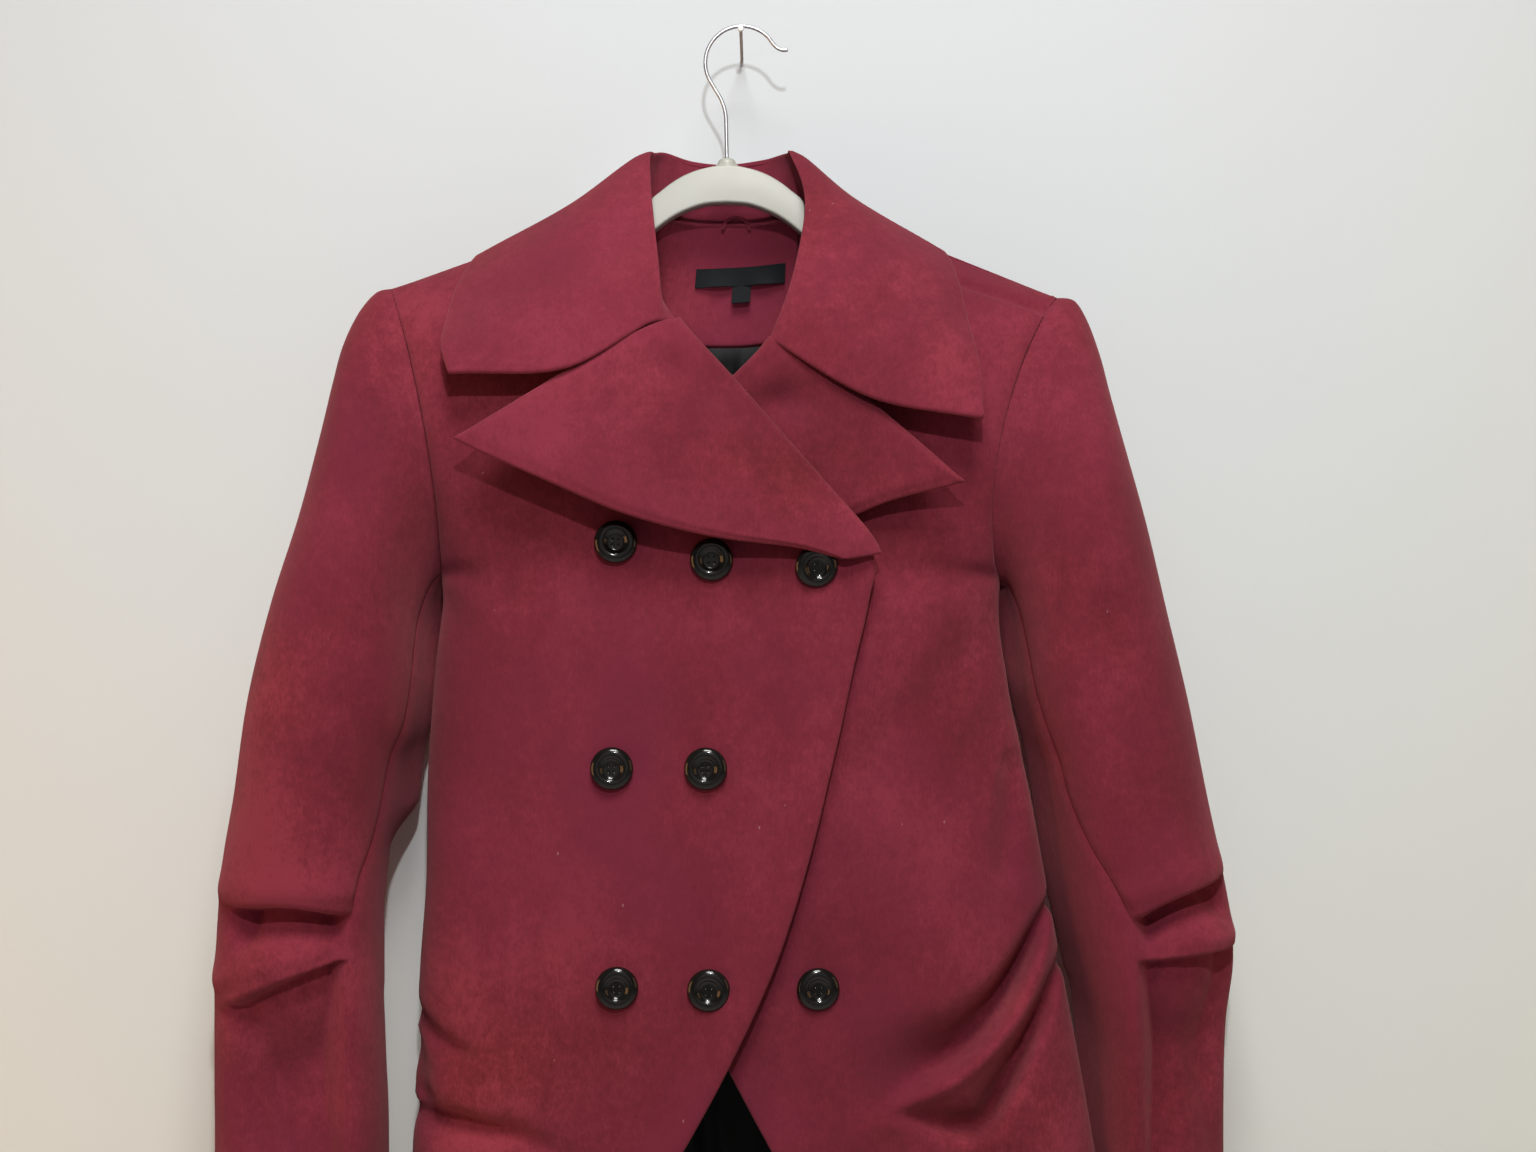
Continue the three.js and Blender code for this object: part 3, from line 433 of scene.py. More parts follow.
def ease(low, high, value):
    """0 below low, 1 above high, and 3t² - 2t³ between."""
    t = np.clip((value - low) / (high - low), 0, 1)
    return t * t * (3 - 2 * t)


def troughs(folds, x, z):
    """Depth of a set of straight folds at a place seen from the front.

    Each is a bell across its line, exp(-(distance / width)²), of one width above the line and
    another below, its depth going from depth to depth times tail, and fading past its ends. bow
    lifts the line's middle. A negative depth is a ridge. Where several meet the deepest counts.
    """
    hollow = np.zeros(np.broadcast(x, z).shape)
    ridge = np.zeros_like(hollow)
    for x1, z1, x2, z2, bow_up, upper, lower, deep, tail, fade in folds:
        length = np.hypot(x2 - x1, z2 - z1)
        run = ((x - x1) * (x2 - x1) + (z - z1) * (z2 - z1)) / length
        part = np.clip(run / length, 0, 1)
        side = np.sign(x2 - x1 + 1e-6)
        off = ((z - z1) * (x2 - x1) - (x - x1) * (z2 - z1)) / length * side
        off -= bow_up * 4 * part * (1 - part)
        past = np.maximum(np.maximum(-run, run - length), 0)
        width = np.where(off > 0, upper, lower)
        here = deep * (1 + (tail - 1) * part) * np.exp(-((off / width) ** 2) - (past / fade) ** 2)
        hollow = np.maximum(hollow, here)
        ridge = np.minimum(ridge, here)
    return hollow + ridge


#     x1    z1    x2    z2   bow upper lower depth tail fade
FRONT_FOLDS = [
    (149, -405, 144, -458, 0, 9, 9, 6, 0.8, 10),         # hollow under the left arm
    (141, -331, 68, -405, 4, 15, 24, 6, 0.8, 22),        # drag line from the left armpit
    (138, -372, 80, -470, 0, 20, 26, 3, 0.3, 26),
    (-184, -534, -150, -555, -2, 4, 8, 10, 0.5, 8),      # right waist, upper crease
    (-180, -556, -171, -587, 0, 7, 7, 11, 0.8, 6),       # pocket between the creases
    (-180, -592, -122, -598, 1, 5, 10, 12, 0.8, 6),      # right waist, lower crease
    (-122, -598, -96, -609, 0, 7, 10, 9, 0.3, 10),
    (-174, -575, -128, -586, 0, 8, 6, -3, 0.3, 10),
    (-160, -318, -128, -352, 0, 10, 14, 3, 0.2, 14),     # small drags from the right armpit
    (-150, -300, -118, -312, 0, 7, 9, 2, 0.2, 10),
    (-140, -420, -100, -520, 0, 18, 26, 2.5, 0.5, 30),
    (96, -318, 60, -330, 0, 12, 12, -1.5, 0.3, 16),
]
NIP = 0.3               # how far a fold draws the side in, as a part of its depth
NIP_WIDTH = 25.0        # and how far from the side seam that fades
# The shoulder seam shows past the collar on the left only.
SHOULDER_SEAM = [(119, -138, 168, -155, 0, 2.0, 2.0, 3.4, 1.0, 3)]
# Folds that curve, each as points of its line with the widths above and below it and its depth.
TUCK = "x z upper lower depth"
WAIST_TUCKS = [
    named(TUCK, [                     # left waist, upper tuck: its hollow widens downwards
        (174, -478, 4, 2.6, 9), (165, -493, 6, 2.6, 16), (152, -516, 8, 2.6, 23),
        (140, -536, 12, 2.8, 26), (122, -556, 17, 3.2, 26), (100, -570, 24, 4.5, 18),
        (76, -584, 26, 6, 6), (56, -592, 26, 8, 0)]),
    named(TUCK, [                     # left waist, lower tuck: its end hooks up to the front
        (178, -513, 5, 2.4, 9), (168, -535, 7, 2.4, 16), (155, -561, 10, 2.4, 23),
        (143, -583, 13, 2.4, 25), (133, -598, 15, 2.8, 22), (118, -599, 15, 2.8, 18),
        (98, -593, 14, 3, 11), (76, -587, 12, 3, 4), (60, -584, 10, 4, 0)]),
    named(TUCK, [                     # the roll between them
        (172, -498, 6, 6, -3), (163, -514, 6, 6, -6), (150, -537, 6, 6, -7), (131, -557, 6, 6, -7),
        (106, -574, 6, 7, -6), (84, -587, 6, 8, -3), (64, -594, 6, 8, 0)]),
]
BACK_FOLDS = [
    (-178, -498, -120, -530, 2, 5, 11, 8, 0.5, 9),
    (-180, -548, -96, -590, -3, 7, 13, 9, 0.3, 12),
    (182, -506, 128, -522, 2, 5, 10, 8, 0.5, 9),
    (186, -556, 92, -604, -3, 7, 12, 9, 0.3, 12),
    (-150, -330, -96, -402, 0, 14, 20, 4, 0.3, 20),
    (132, -332, 84, -392, 0, 14, 20, 4, 0.3, 20),
    (-20, -470, 18, -474, 3, 10, 16, 3, 0.8, 30),
]


def tucks(paths, x, z):
    """Depth of a set of curved folds: that of each line's nearest point times
    exp(-(distance / width)²), with one width above the line and another below."""
    hollow = np.zeros(np.broadcast(x, z).shape)
    ridge = np.zeros_like(hollow)
    for path in paths:
        line = along(path, np.linspace(0, 1, 160))
        away = np.hypot(x[..., None] - line.x, z[..., None] - line.z)
        nearest = away.argmin(-1)
        slope = (np.gradient(line.z) / np.gradient(line.x))[nearest]
        above = z - line.z[nearest] > slope * (x - line.x[nearest])
        width = np.where(above, line.upper[nearest], line.lower[nearest])
        here = line.depth[nearest] * np.exp(-((away.min(-1) / width) ** 2))
        hollow = np.maximum(hollow, here)
        ridge = np.minimum(ridge, here)
    return hollow + ridge


def drape(x, z, phase):
    """Slow swells of the hanging cloth: sines across and down, deeper in the skirt."""
    swell = np.sin(x / 31 + phase) * np.sin(z / 170 + 2 * phase)
    swell += 0.6 * np.sin(x / 17 + z / 95 + phase)
    skirt = 2.6 * ease(-585, -715, z) * np.sin(x / 21 + 1.7 * phase)
    return 0.9 * swell + skirt


def pressed(point, folds, phase):
    """A body panel with its folds: they push it back from the front, or in from behind, and nip its
    sides in. The waist's curved tucks are the fronts' only, but their nip is the back's too, so that
    the side seams stay together."""
    x, y, z = point[..., 0], point[..., 1], point[..., 2]
    front = ease(SIDE_Y, -85, y)
    back = ease(SIDE_Y, -20, y)
    deep = troughs(folds, x, z)
    swell = drape(x, z, phase) * ease(-150, -230, z)
    nip = NIP * np.exp(-(((y - SIDE_Y) / NIP_WIDTH) ** 2))
    tucked = tucks(WAIST_TUCKS, x, z)
    if folds is FRONT_FOLDS:
        deep = np.where(tucked > 0, np.maximum(deep, tucked), deep + tucked)
    moved = point.copy()
    moved[..., 0] -= np.sign(x) * np.maximum(troughs(FRONT_FOLDS, x, z), tucked) * nip
    moved[..., 1] += (deep + swell) * (front - back * (y > SIDE_Y))
    return moved


def armhole(arm, climb, face):
    """The armhole's edge: half an ellipse up from the armpit (climb 0) to the shoulder point (1).

    With turn = pi (1 - climb) it reaches half·sin(turn) out of the seam's plane, to the front for
    face -1 and to the back for 1, and hollow draws it towards the neck by sin(turn)^1.5.
    """
    turn = np.pi * (1 - climb)
    reach = np.maximum(np.sin(turn), 0)
    high = (1 + np.cos(turn)) / 2
    x = arm.low_x + (arm.top_x - arm.low_x) * high + arm.hollow * reach ** 1.5
    return x, SIDE_Y + face * arm.half * reach, arm.low_z + (arm.top_z - arm.low_z) * high


# Rows up the back. The first three columns are the side seams', which end at the armpit; climb is
# the armhole's from there up, and shoulder how far the row has turned over the shoulder.
BACK_ROWS = named("right_x left_x side_z climb centre_z back_y shoulder", [
    (-184, 203, -720, 0, -720, -9, 0),
    (-184, 202.5, -702, 0, -702, -8.5, 0),
    (-183, 201.5, -675, 0, -675, -8, 0),
    (-182, 200, -643, 0, -643, -8, 0),
    (-181, 194.5, -608, 0, -608, -8, 0),
    (-180, 187, -565, 0, -565, -8, 0),
    (-177, 177, -512, 0, -512, -9, 0),
    (-173.5, 168.5, -465, 0, -465, -9, 0),
    (-173, 159, -412, 0, -412, -9, 0),
    (-169.5, 149, -362, 0, -362, -8, 0),
    (-165.5, 144.5, -320, 0, -320, -8, 0),
    (0, 0, 0, 0, -302, -8, 0),
    (0, 0, 0, 0.2, -262, -8, 0),
    (0, 0, 0, 0.4, -222, -8, 0),
    (0, 0, 0, 0.6, -184, -8.5, 0.04),
    (0, 0, 0, 0.78, -148, -10, 0.22),
    (0, 0, 0, 0.9, -122, -12, 0.6),
    (0, 0, 0, 1, -99, -14, 1),
])
ARMPIT_ROW = 11


def back_sides():
    """The back's table with its sides in full: side seams below the armpit, armholes above."""
    table = dict(BACK_ROWS)
    climb = table.pop("climb")
    side_x = {"right": table.pop("right_x"), "left": table.pop("left_x")}
    side_z = table.pop("side_z")
    sewn = np.arange(len(climb)) < ARMPIT_ROW
    for hand, arm, inward in (("right", ARMHOLE_RIGHT, 1), ("left", ARMHOLE_LEFT, -1)):
        x, y, z = armhole(arm, climb, 1)
        table[hand + "_x"] = np.where(sewn, side_x[hand], x + inward * ARMHOLE_SEAM)
        table[hand + "_y"] = np.where(sewn, SIDE_Y, y) + SEAM
        table[hand + "_z"] = np.where(sewn, side_z, z)
    return table


BACK_TABLE = back_sides()


def back_surface(across, v):
    """A point of the back, across from -1 at the right side to 1 at the left, v up from the hem.

    It goes forward to its sides as (1 - across⁴)^¼, and at the top turns over the shoulders, the
    neck's edge rising from the centre to the shoulder seam.
    """
    row = along(BACK_TABLE, v)
    part = np.abs(across)
    right = across < 0
    side_x = np.where(right, row.right_x, row.left_x)
    side_y = np.where(right, row.right_y, row.left_y)
    side_z = np.where(right, row.right_z, row.left_z)
    middle = (row.right_x + row.left_x) / 2
    rise = np.maximum(row.shoulder, 0) * ease(0, NECK, part) ** 1.6
    ridge_y = row.back_y + rise * (NECK_POINT[0] - row.back_y)
    ridge_z = row.centre_z + rise * (NECK_POINT[1] - row.centre_z)
    outward = np.maximum((part - NECK) / (1 - NECK), 0)
    fall = row.shoulder * outward + (1 - row.shoulder) * part ** 2
    flat = np.maximum(1 - part ** 4, 0) ** 0.25
    point = np.stack([
        middle + (side_x - middle) * part,
        np.maximum(side_y, SIDE_Y + SEAM) + (ridge_y - side_y) * flat,
        ridge_z + (side_z - ridge_z) * fall], -1)
    return pressed(point, BACK_FOLDS, 0.8)


SEWN_EDGE = 0.3


def cloth(name, face, thickness, side, free=1.0):
    """A closed cloth wall: its outer face, the same face moved in by the thickness, and between
    them an edge all the way round.

    side is 1 or -1, for a face outside where columns cross rows one way or the other. The edge is
    the mid-line plus half the thickness times (cos a along the normal + edge·sin a outwards). edge
    is 1, half round, where free is 1, and nearly flat where free is 0, as at a seam.
    """
    rows, columns = face.shape[:2]
    normal = side * unit(np.cross(np.gradient(face, axis=1), np.gradient(face, axis=0)))
    inner = face - normal * thickness
    outward = np.zeros_like(face)
    outward[0] += unit(face[0] - face[1])
    outward[-1] += unit(face[-1] - face[-2])
    outward[:, 0] += unit(face[:, 0] - face[:, 1])
    outward[:, -1] += unit(face[:, -1] - face[:, -2])
    index = np.arange(rows * columns).reshape(rows, columns)
    ring = np.concatenate([index[0, :-1], index[:-1, -1], index[-1, :0:-1], index[:0:-1, 0]])
    rim_normal = normal.reshape(-1, 3)[ring]
    rim_out = outward.reshape(-1, 3)[ring]
    rim_out = unit(rim_out - (rim_out * rim_normal).sum(-1, keepdims=True) * rim_normal)
    middle = ((face + inner) / 2).reshape(-1, 3)[ring]
    half = np.linalg.norm(face - inner, axis=-1).reshape(-1, 1)[ring] / 2
    turns = np.pi * np.array([0.25, 0.5, 0.75])
    free = np.broadcast_to(free, (rows, columns)).reshape(-1, 1)[ring]
    edge = SEWN_EDGE + (1 - SEWN_EDGE) * free
    rims = [middle + half * (np.cos(a) * rim_normal + edge * np.sin(a) * rim_out) for a in turns]
    points = np.concatenate([face.reshape(-1, 3), inner.reshape(-1, 3), *rims])
    layer = rows * columns
    count = len(ring)
    loops = [ring] + [2 * layer + k * count + np.arange(count) for k in range(3)] + [layer + ring]
    quads = [grid_faces(rows, columns), layer + grid_faces(rows, columns)[:, ::-1]]
    for here, there in zip(loops[:-1], loops[1:]):
        quads.append(np.stack([np.roll(here, -1), here, there, np.roll(there, -1)], -1))
    quads = np.concatenate(quads)
    return make_mesh(name, points, quads if side > 0 else quads[:, ::-1])


def spread(count, power=1.0):
    """Places from 0 to 1, closer together towards 1 for a power over 1."""
    return 1 - (1 - np.linspace(0, 1, count)) ** power


# Felted wool: a napped face of short fibres, brushed down, clouded where the nap lies unevenly,
# with pale specks of lint.
wool = Finish(
    "wool_melton", Roughness=0.92, Sheen_Weight=0.2, Sheen_Roughness=0.6, Specular_IOR_Level=0.08)
wool.surface.inputs["Sheen Tint"].default_value = (1.0, 0.40, 0.42, 1.0)
nap = wool.noise(700, detail=5, roughness=0.7, stretch=(1.0, 1.0, 0.45))
felt = wool.noise(170, detail=4, roughness=0.65)
clouds = wool.noise(15, detail=4, stretch=(1.0, 1.0, 0.7))
tints = wool.noise(9, detail=2, turn=(0.4, 0.2, 0.7))
lint_place = wool.place((1, 1, 0.5), (0.3, 0.2, 0.4))
lint_cell = wool.node("ShaderNodeTexVoronoi", {}, {"Vector": lint_place, "Scale": 120.0})
lint_patch = wool.noise(95, detail=1, turn=(0.0, 0.5, 0.0))
lint = (lint_cell < 0.055) * (lint_patch > 0.64)
depth_of_dye = wool.node("ShaderNodeValToRGB", {"stops": [
    (0.40, (0.130, 0.0150, 0.0210, 1.0)),
    (0.50, (0.200, 0.0235, 0.0350, 1.0)),
    (0.60, (0.310, 0.0410, 0.0610, 1.0)),
]}, {0: 0.27 * nap + 0.23 * felt + 0.5 * clouds})
cooler = wool.mixed(1.6 * tints - 0.35, depth_of_dye, (0.19, 0.022, 0.050, 1.0))
wool.feed("Base Color", wool.mixed(lint * 0.4, cooler, (0.50, 0.27, 0.27, 1.0)))
wool.relief(0.55 * nap + 0.45 * felt, 0.0005, 0.5)

half_across = spread(52, 2.2)
both_across = np.concatenate([-half_across[:0:-1], half_across])
back_across, back_v = np.meshgrid(both_across, np.linspace(0, 1, 180))
back_face = back_surface(back_across, back_v)
CENTRE_SEAM_WIDTH = 1.6
CENTRE_SEAM_DEPTH = 1.3
HALF_BACK = 185         # about half its width
seam_line = np.exp(-((back_across * HALF_BACK / CENTRE_SEAM_WIDTH) ** 2))
back_face[..., 1] -= CENTRE_SEAM_DEPTH * (seam_line * ease(0.99, 0.93, back_v))
back = cloth("back_panel", back_face, WOOL, -1, ease(0.01, 0, back_v))
fit(back, wool, "back")

# ---- facing, lining, label and loop ----
# Inside the back: a wool facing under the neck, a satin lining hung below it, a woven label sewn by
# its top edge with a small size tab, both plain, and a loop to hang the coat by.

SATIN = 0.8
TAPE = 0.5
INSIDE_GAP = 1.5        # the slack between one layer and the next
centre_v = np.linspace(0, 1, 2000)
centre_z = back_surface(np.zeros(2000), centre_v)[:, 2]


def inside_back(sides, heights, counts, depth):
    """Points inside the back between two places across it and two heights up its middle, a depth
    in from its outer face, with their places across it and up it."""
    low, high = np.interp(heights, centre_z, centre_v)
    across, v = np.meshgrid(np.linspace(*sides, counts[0]), np.linspace(low, high, counts[1]))
    face = back_surface(across, v)
    normal = unit(np.cross(np.gradient(face, axis=1), np.gradient(face, axis=0)))
    return face + normal * depth, across, v


facing_face, across, _ = inside_back((-0.235, 0.235), (-167.5, -101.5), (56, 46), WOOL + INSIDE_GAP)
facing_face[..., 1] += 0.9 * np.sin(across * 17 + 0.6) * ease(-104, -130, facing_face[..., 2])
facing = cloth("neck_facing", facing_face, WOOL, -1)
fit(facing, wool, "back_neck_facing")

satin = Finish("lining_satin", Roughness=0.4, Specular_IOR_Level=0.12)
threads = satin.node("ShaderNodeTexWave", {"wave_type": "BANDS", "bands_direction": "DIAGONAL"},
                     {"Vector": satin.place(), "Scale": 900.0, "Distortion": 1.0})
satin_cloud = satin.noise(30, detail=3)
satin_black = satin.mixed(satin_cloud, (0.0025, 0.0027, 0.003, 1.0), (0.006, 0.0065, 0.0075, 1.0))
satin.feed("Base Color", satin_black)
satin.feed("Roughness", 0.34 + 0.2 * satin_cloud)
satin.relief(threads, 0.00004, 0.5)

LINING_DEPTH = WOOL + INSIDE_GAP + 0.6
lining_face, across, v = inside_back((-0.75, 0.75), (-708, -170.0), (112, 72), LINING_DEPTH)
gathers = np.sin(across * 52 + 3 * np.sin(v * 9)) + 0.5 * np.sin(across * 83 + 1.1)
uneven = 0.4 + 0.6 * np.abs(np.sin(across * 4))
lining_face[..., 1] -= 1.5 * gathers * ease(-172, -185, lining_face[..., 2]) * uneven
lining = cloth("satin_lining", lining_face, SATIN, -1)
fit(lining, satin, "back_lining")

tape = Finish("label_tape", Roughness=0.7, Specular_IOR_Level=0.2)
ribs = tape.node("ShaderNodeTexWave", {"wave_type": "BANDS", "bands_direction": "X"},
                 {"Vector": tape.place(), "Scale": 700.0, "Distortion": 0.4})
slubs = tape.noise(500, detail=3, stretch=(1.0, 1.0, 3.0))
tape_black = tape.mixed(
    0.5 * ribs + 0.5 * slubs, (0.003, 0.0035, 0.0045, 1.0), (0.010, 0.012, 0.015, 1.0))
tape.feed("Base Color", tape_black)
tape.relief(ribs, 0.0001, 0.6)

# The label hangs from its top edge, its lower edge lifting in two waves, and slopes up to the left.
LABEL_DEPTH = 2 * WOOL + 2 * INSIDE_GAP
LABEL_COUNTS = (90, 24)
LABEL_LIFT = 1.7
LABEL_SLOPE = 0.045
label_face = inside_back((-0.095, 0.21), (-135, -124.5), LABEL_COUNTS, LABEL_DEPTH)[0]
label_down = np.linspace(1, 0, LABEL_COUNTS[1])[:, None]
label_waves = 1.0 - 0.8 * np.cos(np.linspace(0, 4 * np.pi, LABEL_COUNTS[0]))[None, :]
label_face[..., 1] -= LABEL_LIFT * label_down ** 1.5 * label_waves
label_pivot = label_face[:, 20:21]
label_face[..., 2] = label_pivot[..., 2] + LABEL_SLOPE * (label_face[..., 0] - label_pivot[..., 0])
label = cloth("woven_label", label_face, TAPE, -1)
fit(label, tape, "label")

TAB_COUNT = 24
TAB_LIFT = 2.6
tab_face = inside_back((0.033, 0.096), (-144.3, -134.8), (TAB_COUNT, TAB_COUNT), LABEL_DEPTH)[0]
tab_face[..., 1] -= TAB_LIFT * np.linspace(1, 0.15, TAB_COUNT)[:, None]
tab = cloth("size_tape", tab_face, TAPE, -1)
fit(tab, tape, "size_tab")

LOOP_LINE = [
    (-11, -24.3, -104), (-8.6, -24.3, -99), (-3, -24.3, -96.5), (2.6, -24.3, -99), (5, -24.3, -104),
]
LOOP_RADIUS = 1.0
LOOP_RUN = 22.0         # a rough length, for its places
places, radii = domed(LOOP_RUN, LOOP_RADIUS, 60)
loop = rod("hanging_cord", bend(LOOP_LINE, places), radii, sides=16)
fit(loop, wool, "hanging_loop")

# ---- fronts ----
# Two wide fronts, the right lapped over the left. Each is cut in one with its roll edge, which runs
# from the break over the chest to the neck, and is eased into tucks at the waist's side seams.

# Each row runs from the front edge to the side seam. round is the fullness of its curve and bow how
# far its middle stands forward. The first table goes up to the lapel's break.
BELOW_BREAK = "edge_x edge_y edge_z side_x side_z round bow"
ABOVE_BREAK = "edge_x edge_y edge_z climb round bow"
RIGHT_BELOW = named(BELOW_BREAK, [
    (-138, -97, -717, -184, -720, 3.0, 0),
    (-103, -98, -699, -184, -702, 3.0, 0),
    (-76, -99, -672, -183, -675, 3.0, 0),
    (-53, -100, -640, -182, -643, 3.0, 1),
    (-31.5, -101, -605, -181, -608, 3.0, 1),
    (-7, -102, -560, -180, -565, 3.0, 1),
    (16, -102, -510, -177, -512, 3.0, 1),
    (32, -102, -462, -173.5, -465, 3.2, 1),
    (47.5, -102, -403, -173, -412, 3.2, 1),
    (58, -102, -355, -169.5, -362, 3.2, 1),
    (67, -102.5, -315, -165.5, -320, 3.2, 1),
])
LEFT_BELOW = named(BELOW_BREAK, [
    (124, -93, -717, 203, -720, 3.0, 0),
    (87, -94, -699, 202.5, -702, 3.0, 0),
    (60, -95, -672, 201.5, -675, 3.0, 0),
    (38, -96, -640, 200, -643, 3.0, 0),
    (17, -96, -605, 194.5, -608, 3.0, 0),
    (-7, -95.5, -560, 187, -565, 3.0, 1),
    (-30, -95, -510, 177, -512, 3.0, 2),
    (-46, -94, -462, 168.5, -465, 3.0, 3),
    (-61.5, -93, -403, 159, -412, 3.1, 4),
    (-72, -92, -355, 149, -362, 3.2, 5),
    (-81, -90, -315, 144.5, -320, 3.2, 5),
])
RIGHT_ABOVE = named(ABOVE_BREAK, [
    (69, -103, -289, 0, 3.0, 1),
    (44, -102, -258, 0.17, 2.6, 1),
    (18, -100, -228, 0.34, 2.4, 1),
    (-9, -98, -197, 0.5, 2.3, 1),
    (-36, -97, -167, 0.66, 1.9, -3),
    (-50, -86, -141, 0.8, 1.6, -5),
    (-60, -69, -117, 0.92, 1.5, -4),
    (-64, -49, -97, 1, 1.6, 0),
])
LEFT_ABOVE = named(ABOVE_BREAK, [
    (-83, -86, -289, 0, 3.0, 4),
    (-57, -86, -260, 0.17, 2.6, 3),
    (-31, -86.5, -231, 0.34, 2.4, 2),
    (-5, -88.5, -203, 0.5, 2.3, 1),
    (20, -93, -177, 0.66, 1.9, -3),
    (32, -84, -148, 0.8, 1.6, -5),
    (40, -68, -120, 0.92, 1.5, -4),
    (44, -49, -97, 1, 1.6, 0),
])


def front_table(below, above, arm):
    """The two tables joined in one, the upper rows' sides taken from the armhole."""
    above = dict(above)
    side_x, side_y, side_z = armhole(arm, above.pop("climb"), -1)
    upper = {**above, "side_x": side_x + np.sign(arm.hollow) * ARMHOLE_SEAM, "side_z": side_z}
    table = {name: np.concatenate([below[name], upper[name]]) for name in below}
    table["side_y"] = np.concatenate([np.full(len(below["round"]), SIDE_Y), side_y]) - SEAM
    return table


RIGHT_TABLE = front_table(RIGHT_BELOW, RIGHT_ABOVE, ARMHOLE_RIGHT)
LEFT_TABLE = front_table(LEFT_BELOW, LEFT_ABOVE, ARMHOLE_LEFT)
FRONT_SPANS = len(RIGHT_TABLE["round"]) - 1
BREAK = len(RIGHT_BELOW["round"]) / FRONT_SPANS
GORGE = (len(RIGHT_BELOW["round"]) + 4) / FRONT_SPANS


def front_surface(table, u, v, phase):
    """A point of a front, u from its front edge to its side, v up from the hem.

    Seen from above, a row is a quarter of a superellipse: with angle = pi/2·u^(round/2) it goes
    sin^(2/round) of the way out to the side and cos^(2/round) of the way forward, less the bow. The
    shoulder's seam is a narrow trough across the top.
    """
    row = along(table, v)
    side_y = np.minimum(row.side_y, SIDE_Y - SEAM)
    angle = np.pi / 2 * u ** (row.round / 2)
    reach = np.sin(angle) ** (2 / row.round)
    forward = np.maximum(np.cos(angle), 0) ** (2 / row.round)
    point = np.stack([
        row.edge_x + (row.side_x - row.edge_x) * reach,
        side_y + (row.edge_y - side_y) * forward - row.bow * np.sin(np.pi * reach),
        row.edge_z + (row.side_z - row.edge_z) * reach], -1)
    moved = pressed(point, FRONT_FOLDS, phase)
    seam = troughs(SHOULDER_SEAM, point[..., 0], point[..., 2])
    return moved + seam[..., None] * (0.0, 0.7, -0.7)


FRONT_EDGE = 3.4        # the thickness at the turned front edge
FRONT_LIFT = 7.0        # how far the upper front's edge curls away from the lower one
front_rows = np.concatenate([np.linspace(0, 0.5, 155)[:-1], np.linspace(0.5, 1, 80)])
front_u, front_v = np.meshgrid(spread(104, 1.5), front_rows)
for name, table, side, phase in (("right", RIGHT_TABLE, -1, 0.3), ("left", LEFT_TABLE, 1, 2.1)):
    face = front_surface(table, front_u, front_v, phase)
    if name == "right":
        face[..., 1] -= FRONT_LIFT * np.exp(-((front_u / 0.075) ** 2)) * ease(-330, -520, face[..., 2])
    thick = WOOL + (FRONT_EDGE - WOOL) * np.exp(-(front_u / 0.03) ** 2)
    free = np.maximum(np.exp(-((front_u / 0.04) ** 2)), ease(0.01, 0, front_v))
    front = cloth("front_" + name + "_panel", face, thick[..., None], side, free)
    fit(front, wool, "front_" + name)

# ---- lapels ----
# Each front is turned back at its roll line into a broad pointed lapel, faced with the same wool. It
# stands off the chest on its soft roll.

# Its edge, from the break to the point. swell is how far the lapel's middle stands forward.
RIGHT_LAPEL = named("x y z swell", [
    (54, -113, -292, 0),
    (30, -119, -285.5, 1),
    (-14.6, -125, -279.3, 2),
    (-58.8, -128, -267.6, 2),
    (-98, -128, -250.9, 2),
    (-131.4, -125, -236.1, 2),
    (-146.2, -123, -228.8, 2),
])
LEFT_LAPEL = named("x y z swell", [
    (-66, -92.5, -293, 0),
    (-30, -93.5, -287, 0),
    (20, -95, -281, 0),
    (56, -98, -270, 0),
    (78, -103, -261, 0),
    (104, -108, -254, 0),
    (117, -110, -250.8, 1),
])
ROLL_RADIUS = 4.0
ROLL_PART = 0.3         # the roll's share of the way from the front's edge to the lapel's
ROLL_GAP = 1.9          # the roll's distance from the front's edge
TURNED_EDGE = 0.9       # how much thicker the wool is where its edge is turned in
DENT_HALF = (18.0, 12.0)
DENT_DEPTH = 5.6
LAPEL_CURL = 1.6


